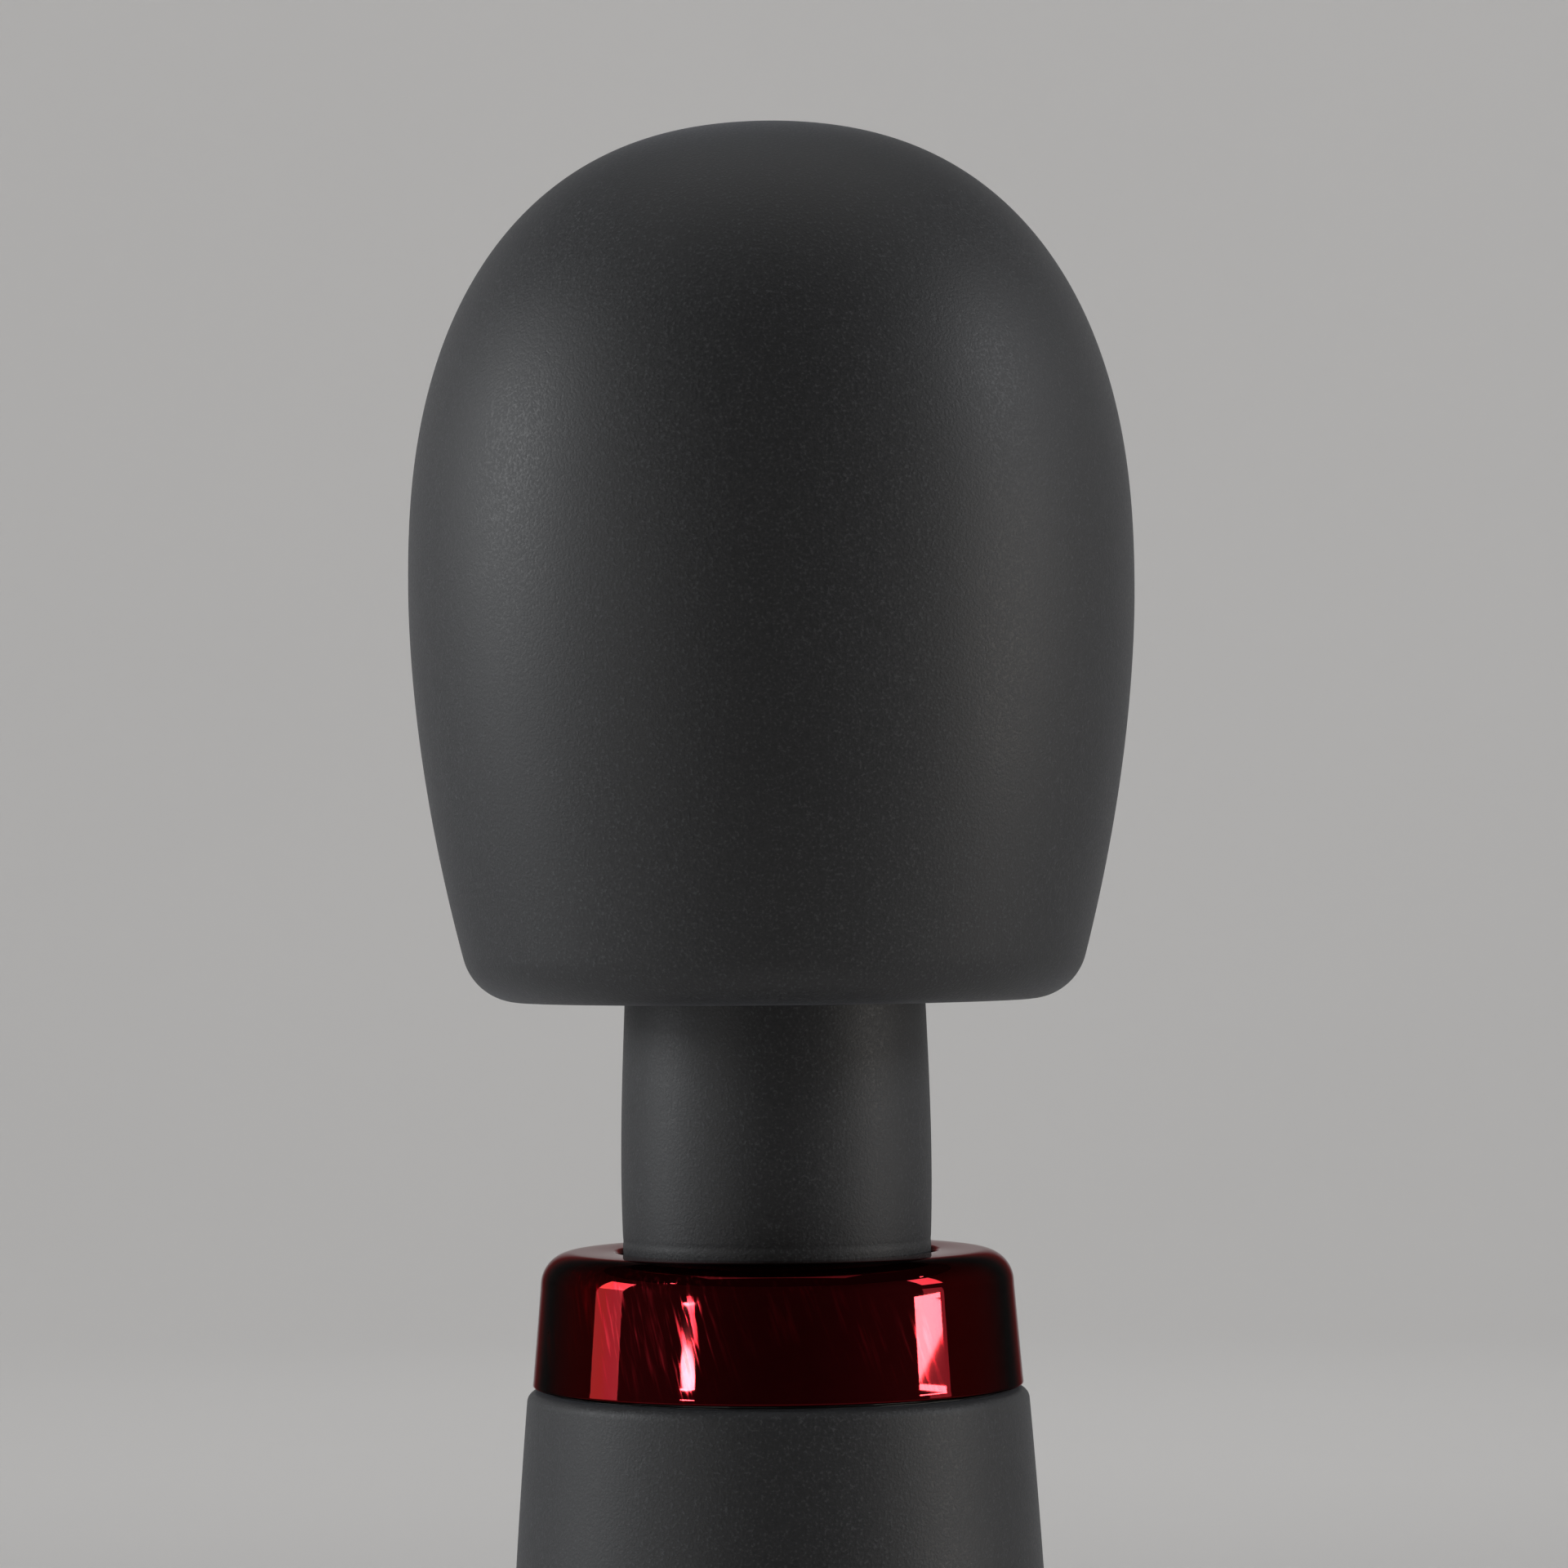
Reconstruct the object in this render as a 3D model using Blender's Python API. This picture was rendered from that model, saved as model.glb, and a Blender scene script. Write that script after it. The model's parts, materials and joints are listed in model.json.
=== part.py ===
"""Cordless handheld wand massager, built as an assembly of separate pieces.

The wand stands upright on its foot. The origin is the centre of the foot's underside, +Z runs up
the long axis and the buttons face -Y. Dimensions are in millimetres, and the functions that make
meshes turn them into metres.
"""

import math

import bmesh
import bpy
from mathutils import Matrix, Vector

MM = 0.001
GAP = 0.3  # clearance between neighbouring pieces
FAR = 40.0  # how far a cutter reaches, past every surface

# Heights along the axis.
FOOT_H = 2.4
SLEEVE_BASE_Z = 6.0
HANDLE_TOP_Z = 208.0
RING_H = 11.1
NECK_H = 20.6
HEAD_H = 72.4
RING_Z = HANDLE_TOP_Z + GAP
RING_TOP_Z = RING_Z + RING_H
HEAD_Z = RING_TOP_Z + NECK_H

# Head: a superellipse crown over a side that curves in to a rounded lower corner.
HEAD_R = 30.0
HEAD_WIDEST_H = 34.1
CROWN_POWER = 2.36
HEAD_CORNER_R = 4.8
HEAD_SIDE_LOW_H = 3.3
HEAD_DRAW_IN = 4.4
HEAD_DRAW_POWER = 1.84
COVER_T = 2.2
SHELL_T = 2.0

# Handle: radius and slope at the top, at the widest place and at the base.
HANDLE_TOP_R = 20.65
HANDLE_TOP_SLOPE = 0.084
HANDLE_WIDEST_R = 23.2
HANDLE_WIDEST_Z = 148.0
HANDLE_BASE_R = 16.8
HANDLE_BASE_SLOPE = 0.06
SLEEVE_T = 1.6
CORE_T = 1.8

# Collar ring and neck.
RING_R = 20.24
RING_TAPER = math.radians(4.9)
RING_CORNER_R = 2.7
RING_PLATE_T = 2.2
COLLAR_R = 17.6
SEAL_Z = 210.7
SEAL_R = 17.0
SEAL_WIRE_R = 0.6
NECK_R_TOP = 12.43
NECK_R_BOTTOM = 12.65
NECK_BULGE = 0.25
NECK_BORE_R = 10.6
HUB_R = 10.0
STUB_R = 6.2
CABLE_BORE_R = 4.0
LOWER_FLANGE_Z = 212.5
PITCH_Z = RING_TOP_Z + NECK_H / 3
SWAY_Z = RING_TOP_Z + NECK_H * 2 / 3

# Controls, on the front.
BUTTON_R = 4.8
BUTTON_PROUD = 0.6
PLUNGER_R = 1.6
POWER_Z = 156.0
BUTTON_SPACING = 16.0
LED_Z = 182.0
LENS_R = 1.4

# Charging port, on the back.
PORT_Z = 24.0
FLAP_W = 14.0
FLAP_LOW_Z = 18.8
FLAP_HIGH_Z = 29.2
FLAP_T = 1.3
SOCKET_MOUTH_Y = 15.4

# Motor, in the head.
MOTOR_R = 15.6
MOTOR_Z = 250.7
MOTOR_CAN_Z = 254.0
MOTOR_TOP_Z = 288.0
SHAFT_R = 2.0
SHAFT_TOP_Z = 301.0
WEIGHT_Z = 291.0
WEIGHT_H = 9.0
WEIGHT_R = 14.0
MOTOR_WALL = 1.2
BEARING_H = 2.6
MOUNT_H = 5.5

# Battery cells, a little behind the axis.
CELL_R = 9.2
CELL_H = 65.0
CELL_Y = 3.6
CELL_Z = 38.0
CELL_SPACING = 66.5

# Main board with its switches, in front of the cells.
BOARD_BACK_Y = -9.4
BOARD_T = 1.6
BOARD_FRONT_Y = BOARD_BACK_Y - BOARD_T
SWITCH_W = 6.0
SWITCH_D = 3.4

OUTER_SEGMENTS = 32
CORE_SEGMENTS = 28
SHELL_SEGMENTS = 24
INNER_SEGMENTS = 20
SMALL_SEGMENTS = 12


# Materials: base colour, roughness, metallic.
FINISHES = {
    "grey_silicone": ((0.035, 0.035, 0.038), 0.62, 0.0),
    "dark_silicone": ((0.028, 0.028, 0.030), 0.65, 0.0),
    "red_mirror": ((0.35, 0.010, 0.014), 0.08, 1.0),
    "black_rubber": ((0.015, 0.015, 0.015), 0.80, 0.0),
    "black_plastic": ((0.020, 0.020, 0.022), 0.50, 0.0),
    "white_plastic": ((0.70, 0.70, 0.68), 0.50, 0.0),
    "clear_lens": ((0.80, 0.80, 0.80), 0.15, 0.0),
    "steel": ((0.55, 0.55, 0.56), 0.30, 1.0),
    "spring_steel": ((0.42, 0.42, 0.44), 0.35, 1.0),
    "magnet": ((0.12, 0.12, 0.13), 0.60, 0.0),
    "copper": ((0.72, 0.33, 0.16), 0.35, 1.0),
    "bearing_brass": ((0.68, 0.50, 0.22), 0.35, 1.0),
    "cell_wrap": ((0.05, 0.16, 0.42), 0.35, 0.0),
    "board_green": ((0.02, 0.16, 0.06), 0.45, 0.0),
    "wire_red": ((0.55, 0.02, 0.02), 0.45, 0.0),
    "wire_black": ((0.02, 0.02, 0.02), 0.45, 0.0),
}


def clear_scene():
    for item in list(bpy.data.objects):
        bpy.data.objects.remove(item, do_unlink=True)


def finish(name):
    """The Principled material of one finish, made the first time that it is asked for."""
    if name in bpy.data.materials:
        return bpy.data.materials[name]
    colour, roughness, metallic = FINISHES[name]
    surface = bpy.data.materials.new(name)
    surface.use_nodes = True
    shader = surface.node_tree.nodes["Principled BSDF"]
    shader.inputs["Base Color"].default_value = (*colour, 1.0)
    shader.inputs["Roughness"].default_value = roughness
    shader.inputs["Metallic"].default_value = metallic
    return surface


# Mesh makers.

def place_mesh(name, bm, surface, smooth=True):
    """Makes an object from a mesh in millimetres, with its faces pointing out."""
    bmesh.ops.recalc_face_normals(bm, faces=bm.faces)
    bmesh.ops.scale(bm, vec=(MM, MM, MM), verts=bm.verts)
    mesh = bpy.data.meshes.new(name)
    bm.to_mesh(mesh)
    bm.free()
    if smooth:
        mesh.shade_smooth()
        mesh.set_sharp_from_angle(angle=math.radians(35))
    mesh.materials.append(finish(surface))
    piece = bpy.data.objects.new(name, mesh)
    bpy.context.scene.collection.objects.link(piece)
    return piece


def turned_point(radius, height, angle, axis, centre):
    """A point of a turned shape, whose axis is world Z, or world Y where axis is "Y"."""
    across, along = radius * math.cos(angle), radius * math.sin(angle)
    if axis == "Y":
        return Vector((across, height, along)) + Vector(centre)
    return Vector((across, along, height)) + Vector(centre)


def turned(name, outline, surface, segments=INNER_SEGMENTS, sweep=(0, 360), axis="Z", centre=(0, 0, 0)):
    """Turns a closed outline of (radius, height) points about an axis. Radius 0 is on the axis."""
    bm = bmesh.new()
    start, end = (math.radians(a) for a in sweep)
    whole = sweep[1] - sweep[0] >= 360
    stations = segments if whole else segments + 1
    rings = []
    for radius, height in outline:
        turns = stations if radius > 0 else 1
        angles = (start + (end - start) * k / segments for k in range(turns))
        rings.append([bm.verts.new(turned_point(radius, height, a, axis, centre)) for a in angles])
    for lower, upper in zip(rings, rings[1:] + rings[:1]):
        for k in range(segments):
            corners = [lower[k % len(lower)], lower[(k + 1) % len(lower)],
                       upper[(k + 1) % len(upper)], upper[k % len(upper)]]
            corners = list(dict.fromkeys(corners))
            if len(corners) > 2:
                bm.faces.new(corners)
    if not whole:
        bm.faces.new([ring[0] for ring in rings])
        bm.faces.new([ring[-1] for ring in rings])
    return place_mesh(name, bm, surface)


def rod(name, radius, low, high, surface, axis="Z", centre=(0, 0, 0), segments=SMALL_SEGMENTS):
    outline = [(0, low), (radius, low), (radius, high), (0, high)]
    return turned(name, outline, surface, segments, axis=axis, centre=centre)


def washer(name, inner, outer, low, high, surface, segments=INNER_SEGMENTS):
    outline = [(outer, low), (outer, high), (inner, high), (inner, low)]
    return turned(name, outline, surface, segments)


def block(name, low, high, surface):
    """A box between two corners."""
    bm = bmesh.new()
    bmesh.ops.create_cube(bm, size=1.0)
    size = Vector(high) - Vector(low)
    bmesh.ops.scale(bm, vec=size, verts=bm.verts)
    bmesh.ops.translate(bm, vec=(Vector(high) + Vector(low)) / 2, verts=bm.verts)
    return place_mesh(name, bm, surface, smooth=False)


def slot_block(name, width, height, low_y, high_y, centre_z, surface):
    """A bar along Y whose section is a rectangle with half-round ends, as a charging socket has."""
    bm = bmesh.new()
    reach = (width - height) / 2
    around = arc(reach, centre_z, height / 2, -90, 90, 6) + arc(-reach, centre_z, height / 2, 90, 270, 6)
    near = [bm.verts.new((x, low_y, z)) for x, z in around]
    far = [bm.verts.new((x, high_y, z)) for x, z in around]
    bm.faces.new(near)
    bm.faces.new(far)
    for k in range(len(around)):
        following = (k + 1) % len(around)
        bm.faces.new((near[k], near[following], far[following], far[k]))
    return place_mesh(name, bm, surface, smooth=False)


def tube(name, points, radius, surface, resolution=2):
    """A round wire along a list of points, with closed ends."""
    curve = bpy.data.curves.new(name, "CURVE")
    curve.dimensions = "3D"
    curve.bevel_depth = radius * MM
    curve.bevel_resolution = resolution
    curve.use_fill_caps = True
    spline = curve.splines.new("POLY")
    spline.points.add(len(points) - 1)
    for target, point in zip(spline.points, points):
        target.co = (*(Vector(point) * MM), 1.0)
    curve.materials.append(finish(surface))
    piece = bpy.data.objects.new(name, curve)
    bpy.context.scene.collection.objects.link(piece)
    return piece


def combine(piece, tool, operation):
    """Adds a Boolean of piece with a tool, which stays in the file as a hidden guide."""
    tool.hide_render = True
    tool.display_type = "WIRE"
    modifier = piece.modifiers.new(tool.name, "BOOLEAN")
    modifier.operation = operation
    modifier.object = tool


def cut(piece, tool):
    combine(piece, tool, "DIFFERENCE")


def add(piece, tool):
    combine(piece, tool, "UNION")


def keep_half(piece, side, low_z, high_z):
    """Cuts away the half of a piece behind (side -1) or in front of (side 1) the middle."""
    low_y, high_y = (-GAP / 2, FAR) if side < 0 else (-FAR, GAP / 2)
    cut(piece, block(piece.name + "_cutter", (-FAR, low_y, low_z), (FAR, high_y, high_z), "black_plastic"))


def axis_empty(name, x, y, z):
    """An empty on a joint's axis, which the pieces of the moving body hang from."""
    empty = bpy.data.objects.new(name, None)
    empty.location = (x * MM, y * MM, z * MM)
    bpy.context.scene.collection.objects.link(empty)
    return empty


def hang(pieces, empty):
    """Parents pieces to an empty without moving them."""
    for piece in pieces:
        piece.parent = empty
        piece.matrix_parent_inverse = Matrix.Translation(-empty.location)


# Outlines.

def arc(centre_r, centre_z, radius, start, end, steps):
    """Points of an arc, with angles in degrees from the radial direction."""
    angles = [math.radians(start + (end - start) * k / steps) for k in range(steps + 1)]
    return [(centre_r + radius * math.cos(a), centre_z + radius * math.sin(a)) for a in angles]


def head_side(height):
    """The side's radius below its widest place, and how far the side leans out there, in degrees."""
    span = HEAD_WIDEST_H - HEAD_SIDE_LOW_H
    drop = max(HEAD_WIDEST_H - height, 0) / span
    slope = HEAD_DRAW_IN * HEAD_DRAW_POWER / span * drop ** (HEAD_DRAW_POWER - 1)
    return HEAD_R - HEAD_DRAW_IN * drop ** HEAD_DRAW_POWER, math.degrees(math.atan(slope))


def head_outline(inset, hole_r, side_steps, crown_steps):
    """The head's outline, moved in by inset, from the hole in its underside up to its top."""
    corner = HEAD_CORNER_R - inset
    lean = head_side(HEAD_SIDE_LOW_H)[1]
    low = HEAD_CORNER_R - corner * math.sin(math.radians(lean))
    corner_r = head_side(low)[0] - inset - corner * math.cos(math.radians(lean))
    points = [(hole_r, HEAD_Z + inset)]
    points += arc(corner_r, HEAD_Z + HEAD_CORNER_R, corner, -90, -lean, 3)
    for step in range(1, side_steps + 1):
        height = low + (HEAD_WIDEST_H - low) * step / side_steps
        points.append((head_side(height)[0] - inset, HEAD_Z + height))
    reach, rise = HEAD_R - inset, HEAD_H - HEAD_WIDEST_H - inset
    for step in range(1, crown_steps):
        angle = math.radians(90 * step / crown_steps)
        radius = reach * math.cos(angle) ** (2 / CROWN_POWER)
        height = rise * math.sin(angle) ** (2 / CROWN_POWER)
        points.append((radius, HEAD_Z + HEAD_WIDEST_H + height))
    points.append((0, HEAD_Z + HEAD_WIDEST_H + rise))
    return points


def head_wall(inset, thickness, hole_r, side_steps, crown_steps):
    """The closed outline of a wall that follows the head, a little coarser inside than outside."""
    outside = head_outline(inset, hole_r, side_steps, crown_steps)
    inside = head_outline(inset + thickness, hole_r, side_steps - 1, crown_steps - 1)
    return outside + inside[::-1]


def hermite(t, value_a, slope_a, value_b, slope_b):
    return (value_a * (2 * t ** 3 - 3 * t ** 2 + 1) + slope_a * (t ** 3 - 2 * t ** 2 + t)
            + value_b * (3 * t ** 2 - 2 * t ** 3) + slope_b * (t ** 3 - t ** 2))


def handle_radius(z):
    """The handle's outer radius: it swells below the collar and then narrows to the base."""
    if z > HANDLE_WIDEST_Z:
        span = HANDLE_TOP_Z - HANDLE_WIDEST_Z
        t = (HANDLE_TOP_Z - z) / span
        return hermite(t, HANDLE_TOP_R, HANDLE_TOP_SLOPE * span, HANDLE_WIDEST_R, 0)
    span = HANDLE_WIDEST_Z - SLEEVE_BASE_Z
    t = (HANDLE_WIDEST_Z - z) / span
    return hermite(t, HANDLE_WIDEST_R, 0, HANDLE_BASE_R, -HANDLE_BASE_SLOPE * span)


def handle_line(inset, low, high, steps):
    """Points up the handle's side, moved in by inset."""
    heights = [low + (high - low) * k / steps for k in range(steps + 1)]
    return [(handle_radius(z) - inset, z) for z in heights]


def neck_radius(z):
    """The neck's outer radius, with a slight bulge below the middle."""
    t = (z - RING_TOP_Z) / NECK_H
    taper = NECK_R_BOTTOM + (NECK_R_TOP - NECK_R_BOTTOM) * t
    return taper + NECK_BULGE * math.sin(math.pi * t ** 0.8)


# Head.

def make_head_casing():
    """The soft cover and the two rigid halves under it."""
    cover_wall = head_wall(0, COVER_T, NECK_R_TOP + GAP, side_steps=5, crown_steps=8)
    cover = turned("head_cover", cover_wall, "grey_silicone", OUTER_SEGMENTS)
    wall = head_wall(COVER_T + GAP, SHELL_T, HUB_R + GAP, side_steps=4, crown_steps=7)
    halves = []
    for name, side in (("head_shell_front", -1), ("head_shell_rear", 1)):
        shell = turned(name, wall, "black_plastic", SHELL_SEGMENTS)
        keep_half(shell, side, HEAD_Z - 5, HEAD_Z + HEAD_H + 5)
        halves.append(shell)
    return [cover, *halves]


def make_head_flange():
    """The neck's upper flange, screwed up to the motor bracket."""
    disc_low, disc_high, disc_r = HEAD_Z + 4.8, HEAD_Z + 7.3, 20.6
    bracket_low, bracket_high = disc_high + GAP, MOTOR_Z - 0.5
    bracket_bore, bracket_r = 6.0, 21.6
    hub_low, stub_low = HEAD_Z - 0.5, HEAD_Z - 3.5
    outline = [(CABLE_BORE_R, stub_low), (STUB_R, stub_low), (STUB_R, hub_low), (HUB_R, hub_low),
               (HUB_R, disc_low), (disc_r, disc_low), (disc_r, disc_high), (CABLE_BORE_R, disc_high)]
    flange = turned("neck_upper_flange", outline, "black_plastic", SHELL_SEGMENTS)
    bracket = washer("motor_bracket", bracket_bore, bracket_r, bracket_low, bracket_high, "steel",
                     SHELL_SEGMENTS)
    screw_ring_r, first_angle, hole_r, head_r, head_h = 18.5, 77, 1.5, 2.0, 1.6
    shank_r, tip, head_low = hole_r - GAP, disc_low + 0.5, bracket_high + GAP
    outline = [(0, tip), (shank_r, tip), (shank_r, head_low), (head_r, head_low),
               (head_r, head_low + head_h), (0, head_low + head_h)]
    screws = []
    for number in range(3):
        angle = math.radians(first_angle + 120 * number)
        centre = (screw_ring_r * math.cos(angle), screw_ring_r * math.sin(angle), 0)
        hole = rod(f"bracket_hole_{number + 1}", hole_r, disc_low - 2, bracket_high + 2, "steel",
                   centre=centre)
        cut(flange, hole)
        cut(bracket, hole)
        screw = turned(f"bracket_screw_{number + 1}", outline, "steel", SMALL_SEGMENTS, centre=centre)
        screws.append(screw)
    return [flange, bracket, *screws]


def make_motor():
    """Motor can, end cap, bearings, magnets and the rubber rings that hold the can in the shells."""
    seat_r, inner_r, roof_z = 5.3, MOTOR_R - MOTOR_WALL, MOTOR_TOP_Z - MOTOR_WALL
    outline = [(MOTOR_R, MOTOR_CAN_Z), (MOTOR_R, MOTOR_TOP_Z), (seat_r, MOTOR_TOP_Z),
               (seat_r, roof_z), (inner_r, roof_z), (inner_r, MOTOR_CAN_Z)]
    can = turned("motor_can", outline, "steel", SHELL_SEGMENTS)
    cap_high = MOTOR_CAN_Z - GAP
    end_cap = washer("motor_end_cap", seat_r, MOTOR_R, MOTOR_Z, cap_high, "black_plastic", SHELL_SEGMENTS)
    bearings = []
    for name, low in (("motor_bearing_lower", MOTOR_Z), ("motor_bearing_upper", roof_z - 0.6)):
        bearings.append(washer(name, SHAFT_R + GAP, seat_r - GAP, low, low + BEARING_H, "bearing_brass"))
    magnet_outer, magnet_inner = inner_r - GAP, 11.9
    magnet_low, magnet_high = MOTOR_CAN_Z + 4, MOTOR_TOP_Z - 5
    outline = [(magnet_outer, magnet_low), (magnet_outer, magnet_high),
               (magnet_inner, magnet_high), (magnet_inner, magnet_low)]
    magnets = []
    for name, middle in (("motor_magnet_left", 180), ("motor_magnet_right", 0)):
        magnets.append(turned(name, outline, "magnet", 12, sweep=(middle - 70, middle + 70)))
    mounts = []
    for name, outer, low in (("motor_mount_lower", 23.1, MOTOR_CAN_Z + 1.5),
                             ("motor_mount_upper", 24.0, MOTOR_TOP_Z - 9)):
        mounts.append(washer(name, MOTOR_R + GAP, outer, low, low + MOUNT_H, "black_rubber"))
    return [can, end_cap, *bearings, *magnets, *mounts]


def make_rotor():
    """Shaft, windings, commutator and the eccentric weight whose spin shakes the head."""
    bore_r, armature_r, commutator_r = SHAFT_R + GAP, 11.2, 4.5
    shaft = rod("rotor_shaft", SHAFT_R, MOTOR_Z + 0.2, SHAFT_TOP_Z, "steel", segments=INNER_SEGMENTS)
    armature = washer("armature", bore_r, armature_r, MOTOR_CAN_Z + 6.5, MOTOR_TOP_Z - 6.5, "copper")
    commutator = washer("commutator", bore_r, commutator_r, MOTOR_CAN_Z + 0.6, MOTOR_CAN_Z + 5.5, "copper")
    hub_r, hub_extra, weight_top = 6.0, 0.6, WEIGHT_Z + WEIGHT_H
    hub_low, hub_high = WEIGHT_Z - hub_extra, weight_top + hub_extra
    weight = washer("eccentric_weight", bore_r, hub_r, hub_low, hub_high, "steel")
    sector_r = (hub_r + bore_r) / 2
    sector = [(WEIGHT_R, WEIGHT_Z), (WEIGHT_R, weight_top), (sector_r, weight_top), (sector_r, WEIGHT_Z)]
    add(weight, turned("weight_sector", sector, "steel", INNER_SEGMENTS, sweep=(0, 180)))
    screw_r, centre = 1.2, (0, 0, WEIGHT_Z + WEIGHT_H / 2)
    cut(weight, rod("set_screw_hole", screw_r + GAP, -hub_r - 2, -1, "steel", axis="Y", centre=centre))
    set_screw = rod("weight_set_screw", screw_r, -hub_r, -bore_r, "steel", axis="Y", centre=centre)
    return [shaft, armature, commutator, weight, set_screw]


# Neck.

def make_neck_sleeve():
    """The flexible sleeve, with a lip that the collar ring holds down."""
    lip_r, lip_low, lip_high = 15.5, RING_TOP_Z - 4.1, RING_TOP_Z - RING_PLATE_T - GAP
    sleeve_top, steps = HEAD_Z + COVER_T, 6
    outline = [(NECK_BORE_R, lip_low), (lip_r, lip_low), (lip_r, lip_high), (NECK_R_BOTTOM, lip_high)]
    heights = (RING_TOP_Z + NECK_H * step / steps for step in range(steps + 1))
    outline += [(neck_radius(z), z) for z in heights]
    outline += [(NECK_R_TOP, sleeve_top), (NECK_BORE_R, sleeve_top)]
    return turned("neck_sleeve", outline, "grey_silicone", OUTER_SEGMENTS)


def make_neck_spring():
    coil_r, wire_r, coils, per_turn = 7.6, 0.9, 4, 12
    low, high, count = RING_TOP_Z + 2.3, HEAD_Z - 1.7, coils * per_turn
    points = []
    for k in range(count + 1):
        angle = 2 * math.pi * k / per_turn
        points.append((coil_r * math.cos(angle), coil_r * math.sin(angle), low + (high - low) * k / count))
    return tube("neck_spring", points, wire_r, "spring_steel", resolution=1)


def make_neck():
    """The sleeve, its spring and the two motor leads, which all bend with the neck."""
    lead_x, lead_r, lead_swing, steps = 1.8, 0.8, 0.6, 8
    low, high = HANDLE_TOP_Z + 1, MOTOR_Z - 0.8
    leads = []
    for ending, side, surface in (("positive", 1, "wire_red"), ("negative", -1, "wire_black")):
        points = []
        for k in range(steps + 1):
            swing = lead_swing * side * math.sin(2 * math.pi * k / steps)
            points.append((side * lead_x, swing, low + (high - low) * k / steps))
        leads.append(tube("motor_lead_" + ending, points, lead_r, surface, resolution=1))
    return [make_neck_sleeve(), make_neck_spring(), *leads]


# Collar.

def make_collar():
    """The mirror ring that clamps the neck, the fitting under it and the seal in the core's groove."""
    corner_z = RING_TOP_Z - RING_CORNER_R
    flank_r = RING_R - (corner_z - RING_Z) * math.tan(RING_TAPER)
    bore_r, inner_r, chamfer = NECK_R_BOTTOM + 0.45, COLLAR_R + GAP, 0.25
    plate_low = RING_TOP_Z - RING_PLATE_T
    outline = [(inner_r, RING_Z), (RING_R - chamfer, RING_Z), (RING_R, RING_Z + chamfer)]
    outline += arc(flank_r - RING_CORNER_R, corner_z, RING_CORNER_R, 5, 90, 4)
    outline += [(bore_r, RING_TOP_Z), (bore_r, plate_low), (inner_r, plate_low)]
    turned("collar_ring", outline, "red_mirror", OUTER_SEGMENTS)
    low, disc_r = LOWER_FLANGE_Z, 15.0
    disc_high, hub_high, stub_high = low + 2.5, low + 8, low + 11
    outline = [(CABLE_BORE_R, low), (disc_r, low), (disc_r, disc_high), (HUB_R, disc_high),
               (HUB_R, hub_high), (STUB_R, hub_high), (STUB_R, stub_high), (CABLE_BORE_R, stub_high)]
    turned("neck_lower_flange", outline, "black_plastic", SHELL_SEGMENTS)
    turned("collar_seal", arc(SEAL_R, SEAL_Z, SEAL_WIRE_R, 0, 300, 5), "black_rubber", SHELL_SEGMENTS)


# Handle.

def core_wall():
    """Closed outline of the rigid core, with its grooved top collar that stands in the ring."""
    outer, inner = SLEEVE_T + GAP, SLEEVE_T + GAP + CORE_T
    base_z, roof_z, collar_top = 9.0, HANDLE_TOP_Z - 3, RING_TOP_Z - RING_PLATE_T - GAP
    groove_r, groove_half, mouth_r, bore_r = 16.1, 0.9, 15.8, 13.5
    ledge_z = LOWER_FLANGE_Z - GAP
    outside = handle_line(outer, base_z, HANDLE_TOP_Z, 7)
    outside += [(COLLAR_R, HANDLE_TOP_Z), (COLLAR_R, SEAL_Z - groove_half),
                (groove_r, SEAL_Z - groove_half), (groove_r, SEAL_Z + groove_half),
                (COLLAR_R, SEAL_Z + groove_half), (COLLAR_R, collar_top), (mouth_r, collar_top)]
    inside = [(mouth_r, ledge_z), (bore_r, ledge_z), (bore_r, HANDLE_TOP_Z + 1)]
    inside += handle_line(inner, base_z, roof_z, 5)[::-1]
    return outside + inside


def port_window():
    """The opening in the sleeve that the flap fills, as a bar along Y."""
    low = (-FLAP_W / 2 - GAP, SOCKET_MOUTH_Y / 2, FLAP_LOW_Z - GAP)
    high = (FLAP_W / 2 + GAP, FAR, FLAP_HIGH_Z + GAP)
    return block("sleeve_port_window", low, high, "grey_silicone")


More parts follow.
